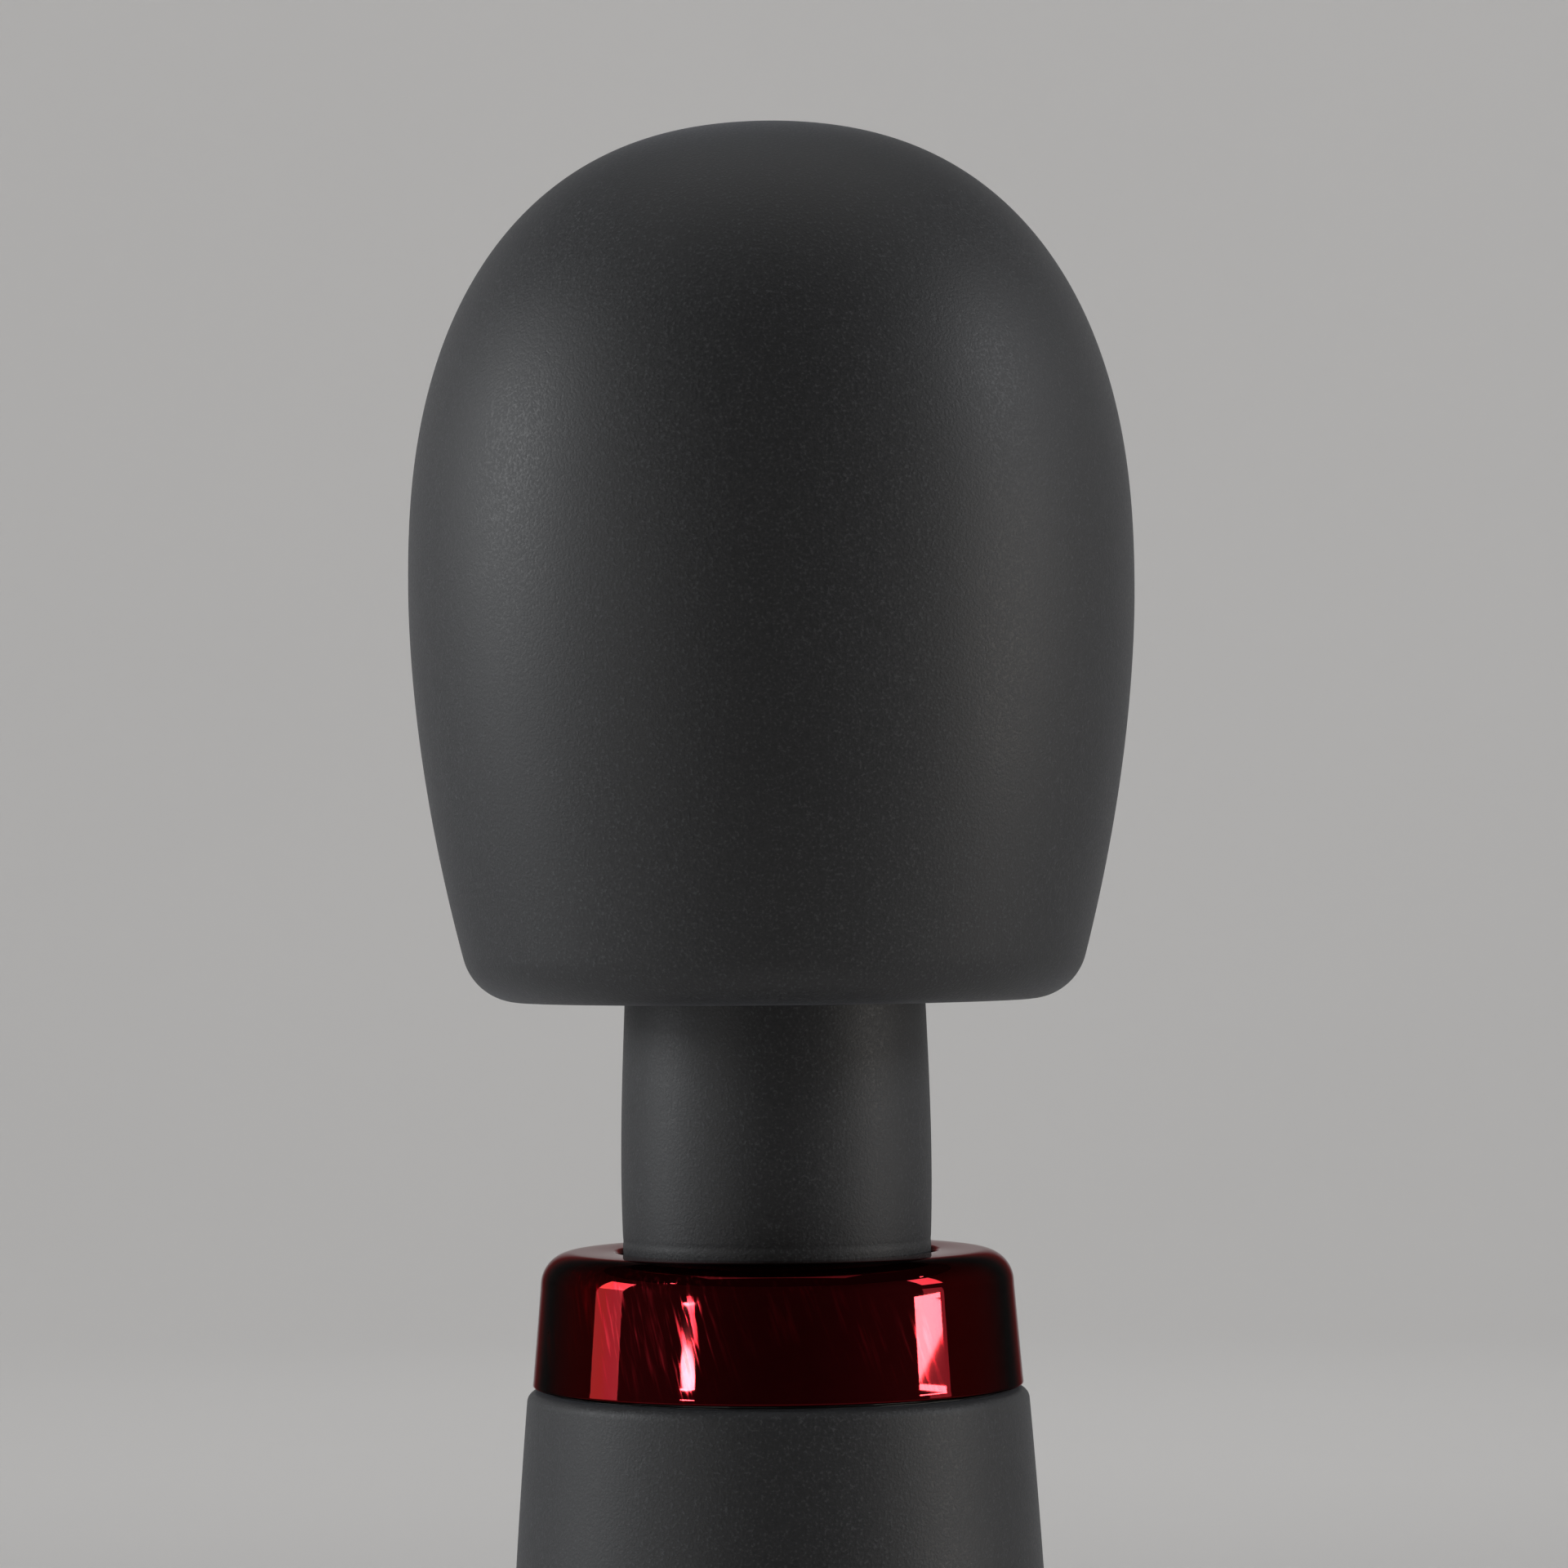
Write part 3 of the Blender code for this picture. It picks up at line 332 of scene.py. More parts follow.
def matt_rubber(name, colour):
    """Moulded rubber with a dusty, uneven face."""
    n = Nodes(name)
    grain = n.noise(3000, detail=3.0)
    dust = n.spread(n.noise(150, detail=4.0), 0.55, 0.75, 0.0, 0.5)
    base = n.blend(dust, tone(colour, 1.0), tone(colour, 2.6))
    return n.finish(Base_Color=base, Roughness=n.vary(grain, 0.70, 0.86),
                    Normal=n.bump(grain, 0.4, 0.03 * MM))


def brushed(name, colour, roughness=0.28):
    """Turned or brushed metal, with its lines along Z."""
    n = Nodes(name)
    lines = n.noise(3200, detail=2.0, vector=n.place((1, 1, 0.04)))
    stains = n.noise(70, detail=3.0)
    base = n.blend(n.spread(stains, 0.35, 0.7, 0.0, 0.6), tone(colour, 1.0), tone(colour, 0.72))
    rough = n.math("ADD", n.vary(lines, roughness - 0.06, roughness + 0.08),
                   n.spread(stains, 0.4, 0.7, 0.0, 0.06))
    material = n.finish(Base_Color=base, Roughness=rough, Normal=n.bump(lines, 0.15, 0.01 * MM))
    n.shader.inputs["Metallic"].default_value = 1.0
    return material


def wound_copper(name):
    """Enamelled windings, seen as close bands, with painted shade in the valleys between turns."""
    n = Nodes(name)
    bands = n.node("ShaderNodeTexWave", {"bands_direction": "Z"}, Scale=420.0, Distortion=1.0,
                   Vector=n.place())
    turns = bands.outputs["Fac"]
    # One wave gives both the bump and the colour. The colour is darker where the wave is low: painted shade in the
    # valleys between the turns.
    base = n.blend(turns, (0.34, 0.12, 0.045, 1), (0.78, 0.36, 0.16, 1))
    material = n.finish(Base_Color=base, Roughness=n.spread(turns, 0.0, 1.0, 0.45, 0.26),
                        Normal=n.bump(turns, 0.6, 0.1 * MM))
    n.shader.inputs["Metallic"].default_value = 1.0
    return material


def shrink_wrap(name, colour):
    """Thin shrunk film with faint puckers round the ends."""
    n = Nodes(name)
    puckers = n.noise(520, detail=2.0, vector=n.place((1, 1, 0.2)))
    base = n.blend(n.vary(puckers), tone(colour, 0.85), tone(colour, 1.15))
    return n.finish(Base_Color=base, Roughness=n.vary(puckers, 0.22, 0.36),
                    Normal=n.bump(puckers, 0.25, 0.05 * MM))


def circuit_board(name):
    """Green solder mask with lighter copper tracks under it."""
    n = Nodes(name)
    upright = n.node("ShaderNodeVectorRotate", {"rotation_type": "X_AXIS"}, Vector=n.place(),
                     Angle=math.radians(90))
    tracks = n.node("ShaderNodeTexBrick", {"offset": 0.35, "squash": 0.6}, Scale=260.0, Mortar_Size=0.035,
                    Color1=(0, 0, 0, 1), Color2=(0.1, 0.1, 0.1, 1), Mortar=(1, 1, 1, 1),
                    Vector=upright.outputs["Vector"])
    fibre = n.noise(1800, detail=2.0)
    mask = n.blend(n.vary(fibre), (0.010, 0.11, 0.035, 1), (0.016, 0.16, 0.05, 1))
    base = n.blend(tracks.outputs["Color"], mask, (0.06, 0.32, 0.10, 1))
    return n.finish(Base_Color=base, Roughness=n.vary(fibre, 0.30, 0.42),
                    Normal=n.bump(fibre, 0.1, 0.02 * MM))


def milky_lens(name):
    """Cloudy light guide over the status light."""
    n = Nodes(name)
    cloud = n.noise(900, detail=2.0)
    base = n.blend(n.vary(cloud), (0.55, 0.56, 0.58, 1), (0.70, 0.71, 0.72, 1))
    material = n.finish(Base_Color=base, Roughness=n.vary(cloud, 0.10, 0.20))
    n.shader.inputs["Coat Weight"].default_value = 0.4
    return material


# One finish for each of the record's material slots.
MATERIALS = {
    "grey_silicone": silicone("grey_silicone_skin", (0.0235, 0.0242, 0.0258)),
    "dark_silicone": silicone("dark_silicone_skin", (0.017, 0.0175, 0.0185), 0.6),
    "red_mirror": red_mirror("red_mirror_lacquer"),
    "black_rubber": matt_rubber("black_rubber_face", (0.016, 0.016, 0.017)),
    "black_plastic": moulded_plastic("black_plastic_grain", (0.020, 0.020, 0.022)),
    "white_plastic": moulded_plastic("white_plastic_grain", (0.62, 0.62, 0.60)),
    "clear_lens": milky_lens("status_lens_milky"),
    "steel": brushed("steel_turned", (0.56, 0.56, 0.57)),
    "spring_steel": brushed("spring_steel_drawn", (0.44, 0.44, 0.45), 0.34),
    "magnet": moulded_plastic("magnet_ferrite", (0.075, 0.073, 0.078), 0.6),
    "copper": wound_copper("copper_windings"),
    "bearing_brass": brushed("bearing_brass_turned", (0.70, 0.50, 0.22), 0.30),
    "cell_wrap": shrink_wrap("cell_wrap_film", (0.04, 0.14, 0.40)),
    "board_green": circuit_board("board_green_mask"),
    "wire_red": moulded_plastic("wire_red_cover", (0.50, 0.02, 0.02), 0.4),
    "wire_black": moulded_plastic("wire_black_cover", (0.02, 0.02, 0.02), 0.4),
}


# Mesh makers.

def link(piece):
    bpy.context.scene.collection.objects.link(piece)
    return piece


def place_mesh(name, bm, slot_name, sharp=38):
    """Makes a smooth-shaded object from a mesh, with creases past the angle sharp in degrees."""
    bmesh.ops.recalc_face_normals(bm, faces=bm.faces)
    mesh = bpy.data.meshes.new(name)
    bm.to_mesh(mesh)
    bm.free()
    mesh.shade_smooth()
    mesh.set_sharp_from_angle(angle=math.radians(sharp))
    mesh.materials.append(MATERIALS[slot_name])
    return link(bpy.data.objects.new(name, mesh))


def bridge(bm, lower, upper):
    """Faces between two loops with as many points each."""
    for k in range(len(lower)):
        following = (k + 1) % len(lower)
        bm.faces.new((lower[k], lower[following], upper[following], upper[k]))


def even_angles(count):
    return [2 * math.pi * k / count for k in range(count)]


def turned(name, outline, slot_name, angles, axis="Z", centre=(0, 0, 0), shape=None, sharp=38):
    """Turns a closed outline of (radius, height) points. shape may move each point of the surface."""
    bm = bmesh.new()
    middle = Vector(centre)
    rings = []
    for radius, height in outline:
        ring = []
        for angle in angles if radius > 0 else angles[:1]:
            across, along = radius * math.cos(angle), radius * math.sin(angle)
            point = Vector((across, height, along) if axis == "Y" else (across, along, height)) + middle
            ring.append(bm.verts.new(shape(point) if shape else point))
        rings.append(ring)
    for lower, upper in zip(rings, rings[1:] + rings[:1]):
        for k in range(len(angles)):
            corners = [lower[k % len(lower)], lower[(k + 1) % len(lower)],
                       upper[(k + 1) % len(upper)], upper[k % len(upper)]]
            corners = list(dict.fromkeys(corners))
            if len(corners) > 2:
                bm.faces.new(corners)
    return place_mesh(name, bm, slot_name, sharp)


def prism(name, outline, near_y, far_y, slot_name, centre=(0, 0)):
    """A flat outline of (x, z) points, drawn out along Y."""
    bm = bmesh.new()
    near = [bm.verts.new((x + centre[0], near_y, z + centre[1])) for x, z in outline]
    far = [bm.verts.new((x + centre[0], far_y, z + centre[1])) for x, z in outline]
    bm.faces.new(near)
    bm.faces.new(far)
    bridge(bm, near, far)
    return place_mesh(name, bm, slot_name)


def swept(name, points, radius, slot_name, sides=16):
    """A round wire along points, with closed ends."""
    bm = bmesh.new()
    rings = []
    side = None
    for k, point in enumerate(points):
        before, after = points[max(k - 1, 0)], points[min(k + 1, len(points) - 1)]
        tangent = (after - before).normalized()
        side = side or tangent.orthogonal()
        side = (side - tangent * side.dot(tangent)).normalized()
        other = tangent.cross(side)
        ring = [point + (side * math.cos(a) + other * math.sin(a)) * radius for a in even_angles(sides)]
        rings.append([bm.verts.new(place) for place in ring])
    for lower, upper in zip(rings, rings[1:]):
        bridge(bm, lower, upper)
    bm.faces.new(rings[0])
    bm.faces.new(rings[-1])
    return place_mesh(name, bm, slot_name)


def joined(name, pieces):
    """One object from several, whose bodies don't touch."""
    bm = bmesh.new()
    for piece in pieces:
        bm.from_mesh(piece.data)
    surface = pieces[0].data.materials[0]
    for piece in pieces:
        bpy.data.objects.remove(piece)
    mesh = bpy.data.meshes.new(name)
    bm.to_mesh(mesh)
    bm.free()
    mesh.materials.append(surface)
    return link(bpy.data.objects.new(name, mesh))


def carve(piece, tool, sharp=38):
    """Cuts tool out of piece for good, and removes the tool."""
    modifier = piece.modifiers.new("carve", "BOOLEAN")
    modifier.operation = "DIFFERENCE"
    modifier.solver = "EXACT"
    modifier.object = tool
    graph = bpy.context.evaluated_depsgraph_get()
    mesh = bpy.data.meshes.new_from_object(piece.evaluated_get(graph))
    piece.modifiers.clear()
    piece.data = mesh
    mesh.shade_smooth()
    mesh.set_sharp_from_angle(angle=math.radians(sharp))
    bpy.data.objects.remove(tool)


def stand_for(piece, body, slot_name, *nodes):
    """Lets a piece ride on one body, in place of CAD nodes if any are named."""
    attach(piece, body)
    if nodes:
        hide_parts(*nodes)


# Outlines.

def arc(centre_r, centre_z, radius, start, end, steps):
    """Points of an arc, with angles in degrees."""
    angles = [math.radians(start + (end - start) * k / steps) for k in range(steps + 1)]
    return [(centre_r + radius * math.cos(a), centre_z + radius * math.sin(a)) for a in angles]


def steps_between(low, high, spacing):
    """Heights from low to high, about spacing apart."""
    count = max(1, round((high - low) / spacing))
    return [low + (high - low) * k / count for k in range(count + 1)]


def rounded_rectangle(width, height, radius, steps=8):
    """Points round a rectangle with rounded corners, centred on the origin."""
    points = []
    for corner, (sx, sz) in enumerate(((1, 1), (-1, 1), (-1, -1), (1, -1))):
        points += arc(sx * (width / 2 - radius), sz * (height / 2 - radius), radius,
                      90 * corner, 90 * corner + 90, steps)
    return points


def head_side(height):
    """The side's radius at a height, and how far it leans out from upright there."""
    span = HEAD_WIDEST_H - HEAD_SIDE_LOW_H
    drop = max(HEAD_WIDEST_H - height, 0) / span
    slope = HEAD_DRAW_IN * HEAD_DRAW_POWER / span * drop ** (HEAD_DRAW_POWER - 1)
    return HEAD_R - HEAD_DRAW_IN * drop ** HEAD_DRAW_POWER, math.atan(slope)


def head_outline(inset, hole_r, side_steps, crown_steps, corner_steps):
    """The head from the hole in its underside up to its top, moved in by inset."""
    corner = HEAD_CORNER_R - inset
    lean = head_side(HEAD_SIDE_LOW_H)[1]
    low = HEAD_CORNER_R - corner * math.sin(lean)
    side_r = head_side(low)[0] - inset
    points = [(hole_r, HEAD_Z + inset)]
    points += arc(side_r - corner * math.cos(lean), HEAD_Z + HEAD_CORNER_R, corner,
                  -90, -math.degrees(lean), corner_steps)
    for step in range(1, side_steps + 1):
        height = low + (HEAD_WIDEST_H - low) * step / side_steps
        points.append((head_side(height)[0] - inset, HEAD_Z + height))
    reach, rise = HEAD_R - inset, HEAD_H - HEAD_WIDEST_H - inset
    for step in range(1, crown_steps):
        angle = math.radians(90 * step / crown_steps)
        radius = reach * math.cos(angle) ** (2 / CROWN_POWER)
        height = rise * math.sin(angle) ** (2 / CROWN_POWER)
        points.append((radius, HEAD_Z + HEAD_WIDEST_H + height))
    points.append((0, HEAD_Z + HEAD_WIDEST_H + rise))
    return points


def hermite(t, value_a, slope_a, value_b, slope_b):
    """A cubic from value_a to value_b as t goes from 0 to 1, with the slope given at each end."""
    return (value_a * (2 * t ** 3 - 3 * t ** 2 + 1) + slope_a * (t ** 3 - 2 * t ** 2 + t)
            + value_b * (3 * t ** 2 - 2 * t ** 3) + slope_b * (t ** 3 - t ** 2))


def handle_radius(z):
    """The handle's outer radius, as the CAD sleeve has it."""
    if z > HANDLE_WIDEST_Z:
        span = HANDLE_TOP_Z - HANDLE_WIDEST_Z
        t = (HANDLE_TOP_Z - z) / span
        return hermite(t, HANDLE_TOP_R, HANDLE_TOP_SLOPE * span, HANDLE_WIDEST_R, 0)
    span = HANDLE_WIDEST_Z - HANDLE_BASE_Z
    t = (HANDLE_WIDEST_Z - z) / span
    return hermite(t, HANDLE_WIDEST_R, 0, HANDLE_BASE_R, -HANDLE_BASE_SLOPE * span)


def neck_radius(z):
    """The neck's outer radius, with a slight bulge below the middle."""
    t = min(max((z - RING_TOP_Z) / NECK_H, 0), 1)
    taper = NECK_R_BOTTOM + (NECK_R_TOP - NECK_R_BOTTOM) * t
    return taper + NECK_BULGE * math.sin(math.pi * t ** 0.8)


# Head, neck and collar.

def make_head():
    """The silicone cover, with a rounded rim round the neck."""
    rim, hole_r = 0.35 * MM, NECK_R_TOP + 0.02 * MM
    rim_arc = arc(hole_r + rim, HEAD_Z + rim, rim, 180, 270, 4)
    outside = head_outline(0, hole_r + rim, side_steps=48, crown_steps=90, corner_steps=16)
    inside = head_outline(COVER_T, hole_r, side_steps=12, crown_steps=24, corner_steps=3)[::-1]
    skin = turned("head_skin", rim_arc + outside[1:] + inside, "grey_silicone", even_angles(176))
    stand_for(skin, "head", "grey_silicone", "head_cover")


def bell(distance, width, power):
    """1 in the middle, falling away past width. A higher power gives a flatter top."""
    return math.exp(-(distance / width) ** power)


def make_neck():
    """The flexible sleeve, in two halves that meet half way up, with a thin bead above the collar."""
    lip_r, lip_top = neck_radius(MID_Z) - NECK_LIP_IN, MID_Z + NECK_LIP_H
    flange_r, flange_top, skin_low = NECK_HIGH.x, RING_TOP_Z - 2.5 * MM, RING_TOP_Z - 1.5 * MM
    lower = [(NECK_BORE_R, NECK_LOW.z), (flange_r, NECK_LOW.z), (flange_r, flange_top),
             (NECK_R_BOTTOM, flange_top)]
    for z in steps_between(skin_low, MID_Z, 0.15 * MM):
        bead = NECK_BEAD * bell(z - RING_TOP_Z - 0.1 * MM, 0.55 * MM, 4)
        groove = NECK_GROOVE * bell(z - RING_TOP_Z - 0.9 * MM, 0.22 * MM, 2)
        lower.append((neck_radius(z) + bead - groove, z))
    lower += [(lip_r, MID_Z), (lip_r, lip_top), (NECK_BORE_R, lip_top)]
    lower += [(NECK_BORE_R, z) for z in steps_between(NECK_LOW.z, MID_Z, 1.2 * MM)[::-1][:-1]]
    socket_r, socket_top = lip_r + NECK_LIP_GAP, lip_top + 0.2 * MM
    upper = [(socket_r, MID_Z)]
    upper += [(neck_radius(z), z) for z in steps_between(MID_Z, HEAD_Z, 0.3 * MM)]
    upper += [(NECK_R_TOP, NECK_HIGH.z), (NECK_BORE_R, NECK_HIGH.z), (NECK_BORE_R, socket_top),
              (socket_r, socket_top)]
    for outline, (half, below, above, start_z, end_z) in zip((lower, upper), NECK_HALVES):
        skin = turned("neck_skin_" + half, outline, "grey_silicone", even_angles(144))
        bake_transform(skin)
        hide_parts("neck_sleeve")


def spring_line(wire_r):
    """The middle line of the spring's wire."""
    low_corner, high_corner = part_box("neck_spring")
    coils, per_turn = 4, 40
    coil_r = high_corner.x - wire_r
    low, high = low_corner.z + wire_r, high_corner.z - wire_r
    points = []
    for k in range(coils * per_turn + 1):
        angle = 2 * math.pi * k / per_turn
        z = low + (high - low) * k / (coils * per_turn)
        points.append(Vector((coil_r * math.cos(angle), coil_r * math.sin(angle), z)))
    return points


def lead_line(node, side):
    """The middle line of a motor lead, on one side of the axis."""
    low_corner, high_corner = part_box(node)
    lead_x, swing = 1.8 * MM, 0.6 * MM
    points = []
    for z in steps_between(low_corner.z, high_corner.z, 0.8 * MM):
        share = (z - low_corner.z) / (high_corner.z - low_corner.z)
        points.append(Vector((side * lead_x, side * swing * math.sin(2 * math.pi * share), z)))
    return points


def make_neck_wires():
    """The spring and the two leads inside the neck, each in two halves split where the sleeve's halves meet."""
    spring_r, lead_r = 0.9 * MM, 0.8 * MM
    runs = [("neck_spring", spring_line(spring_r), spring_r, "spring_steel")]
    for ending, side, slot_name in (("positive", 1, "wire_red"), ("negative", -1, "wire_black")):
        node = "motor_lead_" + ending
        runs.append((node, lead_line(node, side), lead_r, slot_name))
    for node, points, radius, slot_name in runs:
        meeting = min(range(len(points)), key=lambda k: abs(points[k].z - MID_Z))
        lines = (points[:meeting + 1], points[meeting:])
        for line, (half, below, above, start_z, end_z) in zip(lines, NECK_HALVES):
            wire = swept(f"{node}_{half}", line, radius, slot_name)
            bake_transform(wire)
            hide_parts(node)


def make_collar():
    """The mirror ring: a tapered flank, a round shoulder and a lip round the neck."""
    corner_z = RING_TOP_Z - RING_CORNER_R
    flank_r = RING_R - (corner_z - RING_LOW.z) * math.tan(RING_TAPER)
    edge, lip, plate_low = 0.22 * MM, 0.5 * MM, RING_TOP_Z - RING_PLATE_T
    flank_low, flank_high = RING_LOW.z + 0.6 * MM, corner_z - 0.3 * MM
    outline = [(RING_INNER_R, RING_LOW.z), (RING_R - 2 * edge, RING_LOW.z)]
    outline += arc(RING_R - edge, RING_LOW.z + edge, edge, -75, 5, 5)
    outline += [(RING_R - (z - RING_LOW.z) * math.tan(RING_TAPER), z)
                for z in steps_between(flank_low, flank_high, 0.8 * MM)]
    outline += arc(flank_r - RING_CORNER_R, corner_z, RING_CORNER_R, 5, 90, 20)
    outline += arc(RING_BORE_R + lip, RING_TOP_Z - lip, lip, 90, 180, 6)
    outline += [(RING_BORE_R, plate_low), (RING_INNER_R, plate_low)]
    ring = turned("collar_mirror", outline, "red_mirror", even_angles(224), sharp=50)
    stand_for(ring, "handle", "red_mirror", "collar_ring")


# Handle.

def panel_press(point):
    """Presses in the shallow control panel and rolls the skin in round each hole."""
    radial = Vector((point.x, point.y, 0))
    inner_side = radial.length < handle_radius(point.z) - SLEEVE_T / 2
    if point.y > 0 or inner_side:
        return point
    panel_low, panel_high = BUTTON_Z["minus"], LENS_Z - 2.0 * MM
    away = math.hypot(point.x, point.z - min(max(point.z, panel_low), panel_high))
    edge = min(max((PANEL_REACH - away) / PANEL_SLOPE_W, 0), 1)
    press = PANEL_DEPTH * edge * edge * (3 - 2 * edge)
    holes = [(z, BUTTON_R + GAP) for z in BUTTON_Z.values()] + [(LENS_Z, LENS_R + GAP)]
    for z, hole_r in holes:
        outside = math.hypot(point.x, point.z - z) - hole_r
        roll = min(max(1 - outside / HOLE_ROLL_W, 0), 1)
        press += HOLE_ROLL * roll * roll
    return point - radial.normalized() * press


def front_hole(name, radius, z, segments):
    """A tool that cuts a round hole in the front of the sleeve."""
    front_y, back_y = -32 * MM, -14 * MM
    hole = [(0, front_y), (radius, front_y), (radius, back_y), (0, back_y)]
    return turned(name, hole, "grey_silicone", even_angles(segments), "Y", (0, 0, z))


def make_handle():
    """The silicone grip, with its control panel pressed in and its holes and port window cut."""
    top_edge, base_edge = 0.95 * MM, 0.6 * MM
    heights = []
    for low, high, spacing in HANDLE_ROWS:
        heights += steps_between(low * MM, high * MM, spacing * MM)[:-1]
    base_r = handle_radius(HANDLE_BASE_Z)
    outside = arc(base_r - base_edge, HANDLE_BASE_Z + base_edge, base_edge, -90, 0, 5)
    outside += [(handle_radius(z), z) for z in heights if z > HANDLE_BASE_Z + base_edge]
    top_r = handle_radius(HANDLE_TOP_Z - top_edge)
    outside += arc(top_r - top_edge, HANDLE_TOP_Z - top_edge, top_edge, 0, 90, 8)
    inner_heights = steps_between(HANDLE_BASE_Z, HANDLE_TOP_Z, 8 * MM)
    inside = [(handle_radius(z) - SLEEVE_T, z) for z in inner_heights][::-1]
    angles = []
    for start, end, step in HANDLE_TURNS:
        count = round((end - start) / step)
        angles += [math.radians(start + (end - start) * k / count) for k in range(count)]
    skin = turned("handle_skin", outside + inside, "grey_silicone", angles, shape=panel_press)
    tools = [front_hole(label + "_hole", BUTTON_R + GAP, z, 72) for label, z in BUTTON_Z.items()]
    tools.append(front_hole("lens_hole", LENS_R + GAP, LENS_Z, 40))
    flap_low, flap_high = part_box("port_flap")
    flap_size = flap_high - flap_low
    window = rounded_rectangle(flap_size.x + 2 * GAP, flap_size.z + 2 * GAP, FLAP_CORNER_R + GAP)
    window_centre, near_y, far_y = (0, (flap_low.z + flap_high.z) / 2), 8 * MM, 30 * MM
    tools.append(prism("port_window", window, near_y, far_y, "grey_silicone", window_centre))
    carve(skin, joined("handle_holes", tools))
    stand_for(skin, "handle", "grey_silicone", "handle_sleeve")


def make_base():
    """The base cap with a rounded lower edge, and the rubber foot with three grooves under it."""
    edge_r, cap_top, corner_r, foot_r = CAP_HIGH.x, HANDLE_BASE_Z - GAP, 4.4 * MM, FOOT_HIGH.x
    rim, edge = 0.5 * MM, 0.5 * MM
    spigot_r, spigot_t, floor_z = 13.0 * MM, 1.6 * MM, 4.6 * MM
    recess_top = FOOT_HIGH.z + GAP
    outline = [(0, recess_top), (foot_r + GAP, recess_top)]
    outline += arc(foot_r + GAP + rim, CAP_LOW.z + rim, rim, 180, 270, 5)
    outline += arc(edge_r - corner_r, CAP_LOW.z + corner_r, corner_r, -90, 0, 20)[:-1]
    outline += arc(edge_r - edge, cap_top - edge, edge, 0, 90, 5)
    outline += [(spigot_r, cap_top), (spigot_r, CAP_HIGH.z), (spigot_r - spigot_t, CAP_HIGH.z),
                (spigot_r - spigot_t, floor_z), (0, floor_z)]
    cap = turned("base_cap_shell", outline, "black_plastic", even_angles(144))
    stand_for(cap, "handle", "black_plastic", "base_cap")
    foot_edge, groove_w, groove_d = 0.5 * MM, 0.5 * MM, 0.35 * MM
    outline = [(0, 0)]
    for groove_r in (5.0 * MM, 7.5 * MM, 9.6 * MM):
        outline += [(groove_r - groove_w, 0), (groove_r - groove_w / 2, groove_d),
                    (groove_r + groove_w / 2, groove_d), (groove_r + groove_w, 0)]
    outline += arc(foot_r - foot_edge, foot_edge, foot_edge, -90, 0, 6)
    outline += [(foot_r, FOOT_HIGH.z), (0, FOOT_HIGH.z)]
    foot = turned("base_foot_pad", outline, "black_rubber", even_angles(120), sharp=30)
    stand_for(foot, "handle", "black_rubber", "base_foot")


# Controls.

def bar_outline(arms, length, half_width, first=0):
    """Two or four rounded bars out from the centre, evenly spaced from the angle first, as one outline."""
    points = []
    for number in range(arms):
        turn = math.radians(first + 360 * number / arms)
        c, s = math.cos(turn), math.sin(turn)
        points += [(x * c - z * s, x * s + z * c)
                   for x, z in arc(length - half_width, 0, half_width, -90, 90, 8)]
        if arms == 4:
            reach, corner = half_width * math.sqrt(2), turn + math.radians(45)
            points.append((reach * math.cos(corner), reach * math.sin(corner)))
    return points


def power_ring(radius, half_width):
    """The open ring of the usual on and off sign."""
    start, end, steps = 90 + POWER_GAP, 450 - POWER_GAP, 28
    outer = arc(0, 0, radius + half_width, start, end, steps)
    inner = arc(0, 0, radius - half_width, end, start, steps)
    return outer + inner


def mark_outlines(label, line):
    """The flat outlines of a button's generic mark, round the button's centre."""
    if label == "power":
        bar = [(x, z + POWER_R) for x, z in bar_outline(2, POWER_BAR, line, first=90)]
        return [power_ring(POWER_R, line), bar]
    return [bar_outline(4 if label == "plus" else 2, MARK_REACH, line)]


def make_buttons():
    """Domed mirror buttons, each with a mark cut in and filled with pale ink."""
    flange_front, flange_back, stem_r, crown_steps = -17.7 * MM, -16.9 * MM, 1.6 * MM, 12
    for label, z in BUTTON_Z.items():
        node, body = label + "_button", label + "_key"
        low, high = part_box(node)
        face, flange_r = low.y, high.x
        outline = [(0, face)]
        for step in range(1, crown_steps + 1):
            share = step / crown_steps
            outline.append(((BUTTON_R - BUTTON_EDGE_R) * share, face + BUTTON_CROWN * share ** 2))
        outline += arc(BUTTON_R - BUTTON_EDGE_R, face + BUTTON_CROWN + BUTTON_EDGE_R, BUTTON_EDGE_R,
                       -90, 0, 8)[1:]
        outline += [(BUTTON_R, flange_front), (flange_r, flange_front), (flange_r, flange_back),
                    (stem_r, flange_back), (stem_r, high.y), (0, high.y)]
        cap = turned(label + "_cap", outline, "red_mirror", even_angles(96), "Y", (0, 0, z), sharp=32)
        tools = [prism("mark_tool", mark, face - MM, face + MARK_DEPTH, "red_mirror", (0, z))
                 for mark in mark_outlines(label, MARK_LINE)]
        carve(cap, joined(label + "_marks", tools), sharp=32)
        stand_for(cap, body, "red_mirror", node)
        inks = [prism("mark_ink", mark, face + INK_SINK, face + MARK_DEPTH, "white_plastic", (0, z))
                for mark in mark_outlines(label, MARK_LINE - INK_SLACK)]
        stand_for(joined(label + "_mark", inks), body, "white_plastic")


def make_lens():
    """The status light's lens, slightly domed, at the bottom of the control panel's hollow."""
    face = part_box("led_lens")[0].y + PANEL_DEPTH
    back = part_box("led_lens")[1].y
    dome, half_way, edge = 0.15 * MM, 0.10 * MM, 0.35 * MM
    outline = [(0, face - dome), (LENS_R / 2, face - half_way)]
    outline += arc(LENS_R - edge, face + edge, edge, -90, 0, 5)
    outline += [(LENS_R, back), (0, back)]
    lens = turned("status_lens", outline, "clear_lens", even_angles(48), "Y", (0, 0, LENS_Z))
    stand_for(lens, "handle", "clear_lens", "led_lens")


# Charging port.

